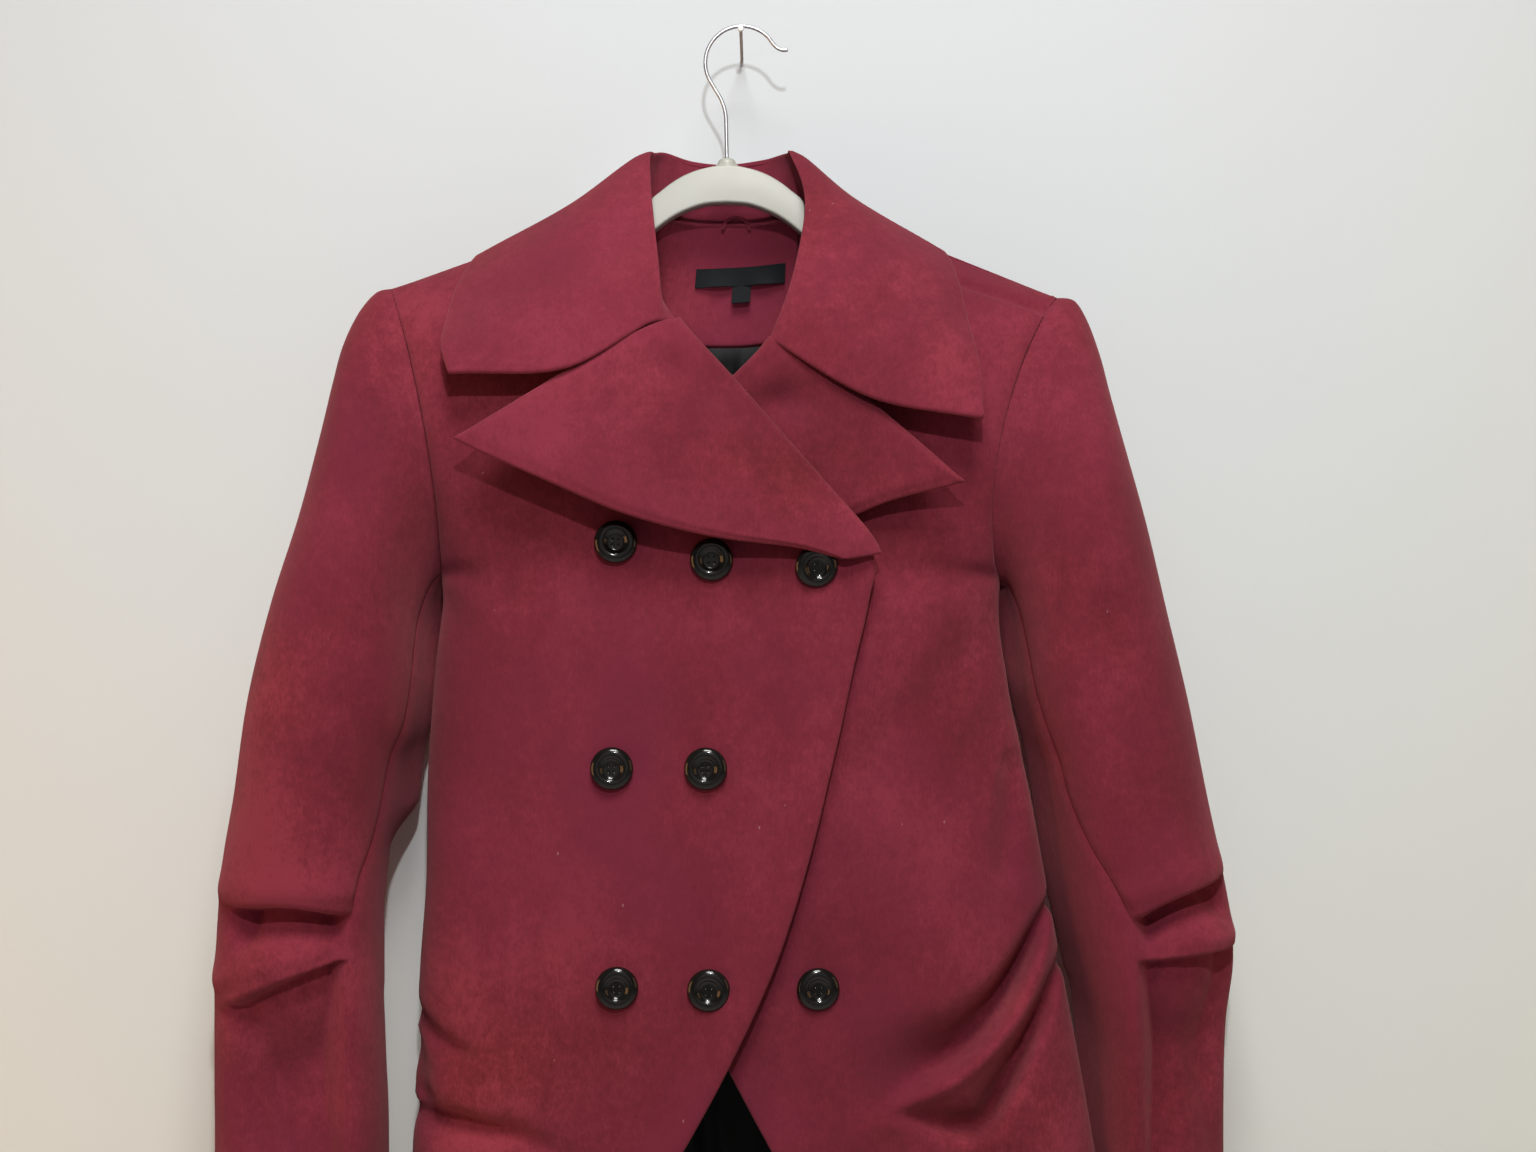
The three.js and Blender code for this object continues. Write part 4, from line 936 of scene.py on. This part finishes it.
def lapel_surface(table, edge, u, v, bow, lean, dent):
    """A point of a lapel, u from the front's edge round the roll to its own edge, v up from the
    break to the gorge.

    For the first part of u it is a half circle round the roll; then it goes straight to the edge,
    plus a swell of sin(pi·part) and a slight wave. Its top is bowed up by bow·sin(pi·part^lean) to
    meet the collar, it is dented at dent, near the neck, by a bell across both ways, and its edges
    turn down a little.
    """
    roll = along(table, BREAK + (GORGE - BREAK) * v)
    tip = along(edge, v)
    out = unit(np.stack([tip.x - roll.edge_x, np.zeros_like(v), tip.z - roll.edge_z], -1))
    turn = np.pi * np.minimum(u / ROLL_PART, 1)
    start_y = roll.edge_y + WOOL - ROLL_RADIUS * (1 - np.cos(turn))
    start = np.stack([roll.edge_x, start_y, roll.edge_z], -1)
    rolled = start - out * (ROLL_GAP + ROLL_RADIUS * np.sin(turn))[..., None]
    part = np.maximum((u - ROLL_PART) / (1 - ROLL_PART), 0)
    point = rolled + (np.stack([tip.x, tip.y, tip.z], -1) - rolled) * part[..., None]
    point[..., 1] -= tip.swell * np.sin(np.pi * part)
    point[..., 2] += bow * np.sin(np.pi * part ** lean) * ease(0.72, 1, v)
    dent_x = (point[..., 0] - dent[0]) / DENT_HALF[0]
    dent_z = (point[..., 2] - dent[1]) / DENT_HALF[1]
    point[..., 1] += DENT_DEPTH * np.exp(-(dent_x ** 2 + dent_z ** 2)) * ease(0, 0.2, part)
    point[..., 1] += 0.8 * np.sin(7 * part + 9 * v) * ease(0, 0.3, part) * ease(0, 0.3, v)
    turned = np.maximum(ease(0.9, 1, part) ** 2, ease(0.94, 1, v) ** 2 * ease(0, 0.3, part))
    point[..., 1] += LAPEL_CURL * turned
    return point


lapel_u, lapel_v = np.meshgrid(np.linspace(0, 1, 94), np.linspace(0, 1, 76))
for name, table, edge, side, bow, lean, dent, area in (
        ("right", RIGHT_TABLE, RIGHT_LAPEL, -1, 4.4, 0.55, (-34, -190), 0.0158),
        ("left", LEFT_TABLE, LEFT_LAPEL, 1, 5.4, 0.8, (24, -208), 0.0137)):
    face = lapel_surface(table, edge, lapel_u, lapel_v, bow, lean, dent)
    free = np.maximum(ease(0.93, 1, lapel_u), ease(0.95, 1, lapel_v))
    lapel = cloth("lapel_" + name + "_turned", face, (WOOL + TURNED_EDGE * free)[..., None], side)
    fit(lapel, wool, "lapel_" + name)

# ---- collar ----
# A wide turned-down collar on a stand: two layers of wool, stitched and turned, sewn to the neck and
# meeting the lapels at the gorge. It rolls over at its crest and stands clear of the shoulders.

# Sections round the neck from the right end to the left: n the neck seam, r the crest of the roll,
# g the middle of the fall and e its outer edge.
COLLAR = named("nx ny nz rx ry rz gx gy gz ex ey ez", [
    (-34.5, -93.5, -164.5, -40.5, -99, -164, -90.9, -117, -190.6, -151.3, -115, -192.8),
    (-50, -85, -137, -43, -92, -136, -98.3, -106, -160.8, -156.9, -104, -177.5),
    (-58, -72, -113, -46, -79, -113, -103, -89, -137, -157, -85, -159.8),
    (-62, -60, -99, -49, -63, -88, -100, -72, -113, -154, -70, -140),
    (-62, -46, -92, -50.5, -47, -66, -96, -48, -94, -147.5, -47, -121.5),
    (-58, -39, -91, -47.5, -38, -63, -91, -34, -93, -139, -28, -120),
    (-50, -30, -90, -42, -29, -61, -82, -21, -95, -122, -12, -131),
    (-32, -19.5, -95, -28, -18, -63.2, -46, -6.5, -101, -62, -4.4, -150),
    (-10, -17.5, -96, -9, -15, -64.4, -10, -4.5, -101, -11, -3.7, -154),
    (13, -19.5, -95, 12, -18, -62.4, 28, -6.5, -101, 42, -4.4, -150),
    (32, -30, -90, 23, -28, -61.5, 58, -21, -95, 92, -12, -131),
    (39, -39, -91, 26, -36, -62.5, 62, -34, -92, 106, -28, -118),
    (43, -46, -92, 27.5, -43, -64, 63, -47, -89.5, 114, -47, -119.5),
    (44, -59, -101, 34.5, -60, -86, 78, -70, -112, 119, -70, -139),
    (42, -70, -116, 34.5, -74, -108, 79, -87, -135, 122.5, -83, -161.7),
    (30.5, -84, -146, 27, -91, -145, 75.8, -104, -171.4, 126.8, -102, -189.2),
    (18, -90, -174, 16.5, -96, -173.5, 69.7, -112, -205.6, 127.4, -113, -216.2),
])
CREST_REACH = 7.0
CREST_LIFT = 2.5
COLLAR_RIPPLE = 0.8
COLLAR_CURL = 1.8


def collar_surface(steps, v):
    """Rows of the collar: at each place v round the neck a curve from the neck seam up the stand,
    over the crest and down the fall to the edge.

    The crest gets a point a little down the stand and one a little out on the fall, lifted, so that
    it turns over in a round roll.
    """
    section = along(COLLAR, v)
    neck = np.stack([section.nx, section.ny, section.nz], -1)
    crest = np.stack([section.rx, section.ry, section.rz], -1)
    fall = np.stack([section.gx, section.gy, section.gz], -1)
    edge = np.stack([section.ex, section.ey, section.ez], -1)
    down = neck - crest
    outward = unit(fall - crest)
    lift = -unit(down - (down * outward).sum(-1, keepdims=True) * outward)
    share = np.minimum(CREST_REACH / np.linalg.norm(down, axis=-1, keepdims=True), 0.5)
    turned = crest + CREST_REACH * outward + CREST_LIFT * lift
    controls = np.stack([neck, crest + down * share, crest, turned, fall, edge])
    return bend(controls, steps / 5).transpose(1, 0, 2)


collar_steps = np.concatenate([
    np.linspace(0, 1, 8)[:-1], np.linspace(1, 3, 24)[:-1], np.linspace(3, 5, 40)])
collar_v = np.linspace(0, 1, 240)
collar_face = collar_surface(collar_steps, collar_v)
step = collar_steps[None, :]
ripple = np.sin(collar_v * 23 + 0.4)[:, None] + 0.6 * np.sin(collar_v * 41 + 2)[:, None]
in_front = ease(-25, -60, collar_face[..., 1])
collar_face[..., 1] -= COLLAR_RIPPLE * ripple * ease(3.2, 4.6, step) * in_front
collar_face[..., 1] += COLLAR_CURL * ease(4.55, 5, step) ** 2 * in_front
free = np.maximum(ease(4.7, 5, step), ease(0.03, 0, np.minimum(collar_v, 1 - collar_v))[:, None])
collar = cloth("collar_turned", collar_face, (WOOL + TURNED_EDGE * free)[..., None], -1)
fit(collar, wool, "collar")

# ---- sleeves ----
# Two-piece sleeves: a top sleeve round the outside and an under sleeve towards the body, joined at a
# front and a back seam. The head is roped, standing over the armhole, and the elbow falls in tucks.

# Rings down the sleeve between its outer and inner points. half is the half depth, round the
# fullness, hollow the armhole's, fading, and seam the front seam's place across the ring, from 1 at
# the outer point to -1 at the inner.
SLEEVE = "out_x out_z in_x in_z y half round hollow seam"
RIGHT_SLEEVE = named(SLEEVE, [
    (-195, -141, -167, -303, -48, 34, 2.0, 10, -0.97),
    (-203, -143.5, -170, -307, -49, 38, 2.0, 9, -0.97),
    (-212, -155, -174, -316, -50, 43, 2.1, 6, -0.97),
    (-219, -173, -177, -330, -54, 47, 2.1, 3, -0.97),
    (-223, -193, -178, -347, -57, 49, 2.2, 1, -0.97),
    (-229, -222, -179, -365, -60, 50, 2.2, 0, -0.97),
    (-240, -266, -182, -385, -61, 50, 2.3, 0, -0.97),
    (-255, -314, -188, -403, -62, 49, 2.3, 0, -0.96),
    (-268, -366, -191.5, -428, -62, 49, 2.3, 0, -0.95),
    (-276, -418, -194, -448, -62, 49, 2.3, 0, -0.92),
    (-282, -452, -196.5, -468, -62, 49, 2.3, 0, -0.84),
    (-285, -485, -198, -494, -62, 49, 2.3, 0, -0.8),
    (-286.3, -520, -198, -524, -62, 49, 2.3, 0, -0.79),
    (-286.5, -560, -197, -562, -62, 49, 2.3, 0, -0.77),
    (-286, -600, -195, -600, -62, 49, 2.3, 0, -0.75),
    (-286, -645, -194.5, -645, -62, 48, 2.3, 0, -0.74),
    (-286, -690, -194.5, -690, -62, 47, 2.3, 0, -0.72),
    (-286, -735, -195, -735, -62, 46, 2.3, 0, -0.7),
])
LEFT_SLEEVE = named(SLEEVE, [
    (177, -146, 145.5, -304, -48, 34, 2.0, -19, -0.97),
    (186, -148, 149, -307, -49, 38, 2.0, -17, -0.97),
    (193, -160, 152, -316, -50, 43, 2.1, -11, -0.97),
    (199, -180, 155, -330, -54, 47, 2.1, -6, -0.97),
    (203, -200, 157.5, -347, -57, 49, 2.2, -2, -0.97),
    (209, -225, 160, -365, -60, 50, 2.2, 0, -0.97),
    (221, -270, 165, -386, -61, 50, 2.3, 0, -0.96),
    (232, -318, 170, -404, -62, 49, 2.3, 0, -0.94),
    (244, -368, 174, -428, -62, 49, 2.3, 0, -0.9),
    (254, -416, 177, -450, -62, 49, 2.3, 0, -0.76),
    (262, -452, 180, -470, -62, 49, 2.3, 0, -0.56),
    (268.5, -486, 184.5, -492, -62, 49, 2.3, 0, -0.42),
    (270, -512, 190, -516, -62, 49, 2.3, 0, -0.52),
    (266, -545, 197, -550, -62, 48, 2.3, 0, -0.6),
    (264.5, -590, 200.5, -590, -62, 47, 2.3, 0, -0.64),
    (264, -645, 205, -645, -62, 46, 2.3, 0, -0.68),
    (265, -690, 207, -690, -62, 46, 2.3, 0, -0.7),
    (266, -735, 208, -735, -62, 46, 2.3, 0, -0.7),
])
#     x1    z1    x2    z2   bow upper lower depth tail fade
SLEEVE_FOLDS = [
    (-262, -479, -212, -484, 3, 2.2, 20, 19, 0.85, 9),     # right sleeve, upper tuck
    (-274, -468, -203, -470, 2, 10, 7, -2.5, 1.0, 10),     # the cloth standing over it
    (-266, -529, -200, -507, 3, 2.2, 110, 13, 1.1, 8),     # right sleeve, lower tuck
    (-276, -516, -206, -496, 3, 10, 6, -3, 1.0, 10),
    (-262, -600, -215, -612, 0, 20, 30, 3, 0.6, 20),
    (213, -483, 254, -467, 2, 2.2, 17, 18, 0.85, 8),       # left sleeve, upper tuck
    (206, -470, 261, -455, 2, 9, 7, -2, 1.0, 10),          # the cloth standing over it
    (205, -508, 276, -503, 2, 2.2, 100, 12, 1.0, 12),      # left sleeve, lower tuck
    (210, -496, 266, -492, 2, 9, 6, -3, 1.0, 8),
    (214, -600, 256, -614, 0, 18, 30, 3, 0.6, 20),
    (-224, -330, -262, -420, 0, 16, 16, 2.5, 0.5, 30),
    (190, -330, 232, -420, 0, 16, 16, 2.5, 0.5, 30),
    (-206, -250, -220, -330, 0, 10, 10, 1.5, 0.5, 20),
    (176, -250, 186, -330, 0, 10, 10, 1.5, 0.5, 20),
]
# Below its lower tuck each forearm falls back in a wide hollow.
FOREARM_HOLLOWS = [
    (-262, -580, -200, -564, 0, 28, 90, 16, 1.0, 12),
    (202, -558, 276, -554, 0, 28, 80, 15, 1.0, 14),
]
SLEEVE_BACK_FOLDS = [
    (-270, -488, -206, -480, 2, 4, 12, 7, 0.8, 8),
    (-272, -522, -206, -532, -2, 4, 16, 8, 0.7, 8),
    (206, -486, 262, -480, 2, 4, 12, 7, 0.8, 8),
    (208, -526, 264, -518, -2, 4, 16, 8, 0.7, 8),
]
BACK_SEAM = -0.35       # the back seam's place across the ring
SLEEVE_BAG = 17.0       # how far the cloth bags under the arm
BAG_TURN = 3.95         # and at which turn
SEAM_SINK = 1.3         # the depth of a sleeve's seams
SEAM_LINE = 3.2         # their width
RING_RADIUS = 40        # a rough one, to turn widths into angles
# Extra rows inside the head: how far each is turned in to the armhole, and towards the body.
HEAD_TURNING = ((3.4, 2.6), (1.9, 1.6), (0.6, 0.7))


def sleeve_surface(table, turn, v, seams, bag_end):
    """A point of a sleeve, turn 0 at the outer point and a quarter turn at the front, v downwards.

    A ring is a superellipse, cos and sin each to the power 2/round, between its two points, pushed
    in towards its centre by the folds, the slack of the lower arm and the seams, whose turns are
    given. The folds in front fade out at the front seam. Behind, the cloth under the arm bags
    towards the body as far down as bag_end.
    """
    row = along(table, v)
    across = np.sign(np.cos(turn)) * np.abs(np.cos(turn)) ** (2 / row.round)
    forward = np.sign(np.sin(turn)) * np.abs(np.sin(turn)) ** (2 / row.round)
    centre = np.stack([(row.out_x + row.in_x) / 2, row.y, (row.out_z + row.in_z) / 2], -1)
    point = np.stack([
        centre[..., 0] + (row.out_x - row.in_x) / 2 * across + row.hollow * np.abs(forward) ** 1.5,
        centre[..., 1] - row.half * forward,
        centre[..., 2] + (row.out_z - row.in_z) / 2 * across], -1)
    front = troughs(SLEEVE_FOLDS, point[..., 0], point[..., 2]) * ease(0.12, 0.6, np.sin(turn))
    front += troughs(FOREARM_HOLLOWS, point[..., 0], point[..., 2]) * ease(0.05, 0.95, np.sin(turn))
    front *= ease(seams[0] + 0.02, seams[0] - 0.11, turn)
    behind = troughs(SLEEVE_BACK_FOLDS, point[..., 0], point[..., 2])
    behind *= ease(0.0, -0.6, np.sin(turn))
    slack = 0.6 * np.sin(3 * turn + v * 11) * ease(0.25, 0.5, v)
    stitched = SEAM_SINK * sum(np.exp(-((turn - seam) * RING_RADIUS / SEAM_LINE) ** 2) for seam in seams)
    pushed = front + behind + slack + stitched * ease(0, 0.1, v)
    moved = point + unit(centre - point) * pushed[..., None]
    bag = SLEEVE_BAG * np.exp(-(((turn - BAG_TURN) / 0.6) ** 2)) * ease(-285, -320, point[..., 2])
    moved[..., 0] -= np.sign(row.out_x) * bag * ease(bag_end - 14, bag_end + 14, point[..., 2])
    return moved


def seam_turn(place, fullness):
    """The turn at which a ring has a given place across it."""
    return np.arccos(np.sign(place) * np.abs(place) ** (fullness / 2))


SEAM_TURN = SEAM / 90   # a sleeve's ring is about 90 across
sleeve_v = np.concatenate([
    np.linspace(0, 0.55, 115)[:-1], np.linspace(0.55, 0.8, 86)[:-1], np.linspace(0.8, 1, 32)])
for name, table, side, bag_end in (("right", RIGHT_SLEEVE, -1, -440), ("left", LEFT_SLEEVE, 1, -900)):
    ring = along(table, sleeve_v)
    front = seam_turn(ring.seam, ring.round)[:, None]
    behind = 2 * np.pi - seam_turn(np.full(len(sleeve_v), BACK_SEAM), ring.round)[:, None]
    start = behind - 2 * np.pi + SEAM_TURN
    top_turn = start + (front - SEAM_TURN - start) * np.linspace(0, 1, 118)[None, :]
    under_turn = front + SEAM_TURN + (behind - front - 2 * SEAM_TURN) * np.linspace(0, 1, 44)[None, :]
    for part, turn, flat, area in (
            ("top", top_turn, (0.23, 0.61), 0.112), ("under", under_turn, (0.11, 0.46), 0.044)):
        v = np.broadcast_to(sleeve_v[:, None], turn.shape)
        face = sleeve_surface(table, turn, v, (front, behind, behind - 2 * np.pi), bag_end)
        middle = face[0].mean(axis=0) * (0, 1, 1) + face[0] * (1, 0, 0)
        towards = np.array([np.sign(ring.in_x[0] - ring.out_x[0]), 0, 0])
        turned = [face[0] + a * unit(middle - face[0]) + b * towards for a, b in HEAD_TURNING]
        face = np.concatenate([np.array(turned), face])
        free = np.concatenate([np.zeros_like(v[:len(HEAD_TURNING)]), ease(0.995, 1, v)])
        sleeve = cloth(f"sleeve_{name}_{part}_panel", face, WOOL, side, free)
        fit(sleeve, wool, f"sleeve_{name}_{part}")

# ---- buttons ----
# Large plastic buttons, turned with a round rim and a dished middle and drilled with four holes,
# sewn on with dark thread.

# The profile from the middle of the front, as (radius, height).
BUTTON_PROFILE = [
    (0.05, 2.5), (2.2, 2.5), (4.2, 2.6), (5.2, 3.1), (6.2, 3.9), (7.8, 4.3), (9.6, 3.9), (10.9, 2.9),
    (11.4, 1.9), (11.2, 0.9), (10.2, 0.2), (7.0, 0.0), (0.05, 0.0),
]
HOLE_RING = 2.2
HOLE_RADIUS = 0.7
HOLE_DEPTH = 0.6
BUTTON_SINK = 0.5       # how far the back is pulled into the cloth by its thread
#    node, x, z, tilt to the side and forward in degrees
BUTTONS = [
    ("button_top_outer", -65.4, -282.8, 2, 1),
    ("button_top_middle", -14.5, -292.2, -2, 5),
    ("button_top_inner", 40.6, -295.6, 8, 12),
    ("button_middle_outer", -67.5, -402.8, 1, 1),
    ("button_middle_inner", -17.7, -402.8, -2, 2),
    ("button_low_outer", -64.8, -518.8, 2, 0),
    ("button_low_inner", -16.1, -519.9, -1, 2),
    ("button_low_left", 41.8, -520.6, 3, 1),
]


def button_surface(turns=76):
    """A button's rings from the middle of its front, round its rim, to the middle of its back.

    The profile is turned round the button's middle, and the four holes are wells of
    1 - (distance / hole)⁴ sunk in the dish.
    """
    profile = bend(np.array([(r, h, 0.0) for r, h in BUTTON_PROFILE]), np.concatenate([
        np.linspace(0, 0.22, 36), np.linspace(0.22, 1, 44)[1:]]))
    angle = np.linspace(0, 2 * np.pi, turns, endpoint=False)[None, :]
    x = profile[:, :1] * np.cos(angle)
    z = profile[:, :1] * np.sin(angle)
    level = np.broadcast_to(profile[:, 1:2], x.shape).copy()
    for corner in np.radians([45, 135, 225, 315]):
        away = np.hypot(x - HOLE_RING * np.cos(corner), z - HOLE_RING * np.sin(corner))
        level -= HOLE_DEPTH * np.maximum(1 - (away / HOLE_RADIUS) ** 4, 0) * (level > 2)
    return np.stack([x, -level, z], -1)


horn = Finish(
    "button_plastic", Roughness=0.16, Coat_Weight=0.25, Coat_Roughness=0.06, Specular_IOR_Level=0.4)
swirl = horn.noise(110, detail=3)
horn.feed("Base Color", horn.mixed(swirl, (0.004, 0.003, 0.003, 1.0), (0.012, 0.011, 0.009, 1.0)))
horn.feed("Roughness", 0.10 + 0.12 * swirl)

button_shape = button_surface()
button_faces = grid_faces(*button_shape.shape[:2], around=True)[:, ::-1]
for node, x, z, roll, pitch in BUTTONS:
    a, b = np.radians([roll, pitch])
    roll_turn = np.array([[np.cos(a), -np.sin(a), 0], [np.sin(a), np.cos(a), 0], [0, 0, 1]])
    pitch_turn = np.array([[1, 0, 0], [0, np.cos(b), -np.sin(b)], [0, np.sin(b), np.cos(b)]])
    shape = button_shape.reshape(-1, 3) @ roll_turn.T @ pitch_turn.T
    shape[:, 1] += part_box(node)[1][1] / MM - shape[:, 1].max() + BUTTON_SINK
    shape += (x, 0, z)
    button = make_mesh(node + "_turned", shape, button_faces)
    fit(button, horn, node)

# ---- room ----
# A plain painted wall, close behind the coat, and a floor. The wall shows only from its front, so
# that the coat's back can be seen from behind.


def room_plane(name, corners, colour, edge_colour, upper_colour):
    """A flat stage piece with four corners in metres, painted. Its colour goes to the edge colour by
    0.7 m from the origin, and to the upper colour from 0.6 m below the origin to 0.4 m above it. On
    the wall these are painted warm light towards the edges and painted shade towards the top."""
    mesh = bpy.data.meshes.new(name)
    mesh.from_pydata(corners, [], [(0, 1, 2, 3)])
    plane = bpy.data.objects.new(name, mesh)
    bpy.context.scene.collection.objects.link(plane)
    paint = Finish(name + "_paint", Roughness=0.85)
    stipple = paint.noise(700, detail=2)
    squashed = paint.place((1.0, 1.0, 0.8))
    from_middle = paint.node("ShaderNodeVectorMath", {"operation": "LENGTH"}, {0: squashed}, output=1)
    height = paint.node("ShaderNodeSeparateXYZ", {}, {0: paint.place()}, output=2)
    # Painted light: the colour turns warmer away from the middle, as if warm light fell there.
    painted_edge_light = paint.mixed(from_middle * 1.5 - 0.1, colour, edge_colour)
    # Painted shade: darker towards the top, where the lamps fall brighter.
    painted_top_shade = paint.mixed(0.62 + height, painted_edge_light, upper_colour)
    paint.feed("Base Color", paint.mixed(stipple * 0.1, painted_top_shade, (0.76, 0.75, 0.73, 1.0)))
    paint.relief(stipple, 0.0001, 0.3)
    mesh.materials.append(paint.material)
    return plane, paint


WALL_Y = 0.0004
FLOOR_Z = -1.45
FLOOR_GREY = (0.74, 0.73, 0.71, 1.0)
wall_corners = [(-3.0, WALL_Y, FLOOR_Z), (3.0, WALL_Y, FLOOR_Z), (3.0, WALL_Y, 1.6), (-3.0, WALL_Y, 1.6)]
# On the wall the edge colour is painted warm light and the upper colour is painted shade.
wall, wall_paint = room_plane(
    "wall", wall_corners, (0.89, 0.95, 0.98, 1.0), (0.91, 0.94, 0.88, 1.0), (0.52, 0.555, 0.595, 1.0))
behind_wall = wall_paint.node("ShaderNodeNewGeometry", output="Backfacing")
unseen = wall_paint.node("ShaderNodeBsdfTransparent")
painted = Value(wall_paint, wall_paint.surface.outputs[0])
either = wall_paint.node("ShaderNodeMixShader", {}, {0: behind_wall, 1: painted, 2: unseen})
wall_paint.tree.links.new(either.socket, wall_paint.tree.nodes["Material Output"].inputs["Surface"])
wall.visible_shadow = False
wall.visible_diffuse = False
wall.visible_glossy = False
floor_corners = [(-3.0, -4.0, FLOOR_Z), (3.0, -4.0, FLOOR_Z), (3.0, 3.0, FLOOR_Z), (-3.0, 3.0, FLOOR_Z)]
room_plane("floor", floor_corners, FLOOR_GREY, FLOOR_GREY, FLOOR_GREY)

# ---- light ----
# A small lamp above the camera throws the shadows, a wide one overhead and a weak one in front soften
# them, and a narrow one lights the neck. Two warm ones tint the sleeves from the sides, and one
# stands behind for the coat's back.

NECK_CONE = np.radians(6.5)


def lamp(name, kind, place, aim, power, size, colour, shine=1.0):
    """A lamp of a size in metres at a place, aimed at a point. shine is its share in highlights.

    With direction (x, y, z) it is tipped up from straight down by atan2(sqrt(x² + y²), -z), and
    turned about the vertical by atan2(x, -y) + pi.
    """
    data = bpy.data.lights.new(name, kind)
    data.specular_factor = shine
    data.energy = power
    data.color = colour
    if kind == "AREA":
        data.size = size
    else:
        data.shadow_soft_size = size
    if kind == "SPOT":
        data.spot_size = NECK_CONE
        data.spot_blend = 1.0
    light = bpy.data.objects.new(name, data)
    light.location = place
    direction = np.array(aim) - np.array(place)
    light.rotation_euler = (
        np.arctan2(np.hypot(direction[0], direction[1]), -direction[2]),
        0.0,
        np.arctan2(direction[0], -direction[1]) + np.pi)
    bpy.context.scene.collection.objects.link(light)


lamp("lamp", "POINT", (0.045, -1.17, 0.26), (0.0, 0.0, -0.3), 19.0, 0.02, (0.98, 0.99, 1.0))
lamp("overhead", "AREA", (0.05, -1.05, 1.05), (0.0, -0.05, -0.35), 21.0, 0.6, (1.0, 0.98, 0.94))
lamp("fill", "AREA", (0.1, -2.6, 0.2), (0.0, 0.0, -0.3), 4.0, 2.2, (1.0, 0.95, 0.85))
lamp("neck", "SPOT", (-0.01, -1.15, -0.26), (-0.026, -0.03, -0.118), 18.0, 0.05, (1.0, 0.98, 0.96))
lamp("warm_right", "AREA", (1.3, -0.45, -0.3), (0.2, -0.05, -0.35), 1.8, 0.8, (1.0, 0.55, 0.25), 0.1)
lamp("warm_left", "AREA", (-1.25, -0.42, -0.55), (-0.2, -0.05, -0.45), 3.9, 0.7, (1.0, 0.50, 0.20), 0.1)
lamp("behind", "AREA", (0.3, 2.2, 0.9), (0.0, 0.0, -0.35), 9.0, 2.0, (1.0, 0.99, 0.97))

world = bpy.data.worlds.new("room_light")
world.use_nodes = True
world.node_tree.nodes["Background"].inputs["Color"].default_value = (0.93, 0.95, 1.0, 1.0)
world.node_tree.nodes["Background"].inputs["Strength"].default_value = 0.06
bpy.context.scene.world = world
bpy.context.scene.view_settings.view_transform = "Standard"
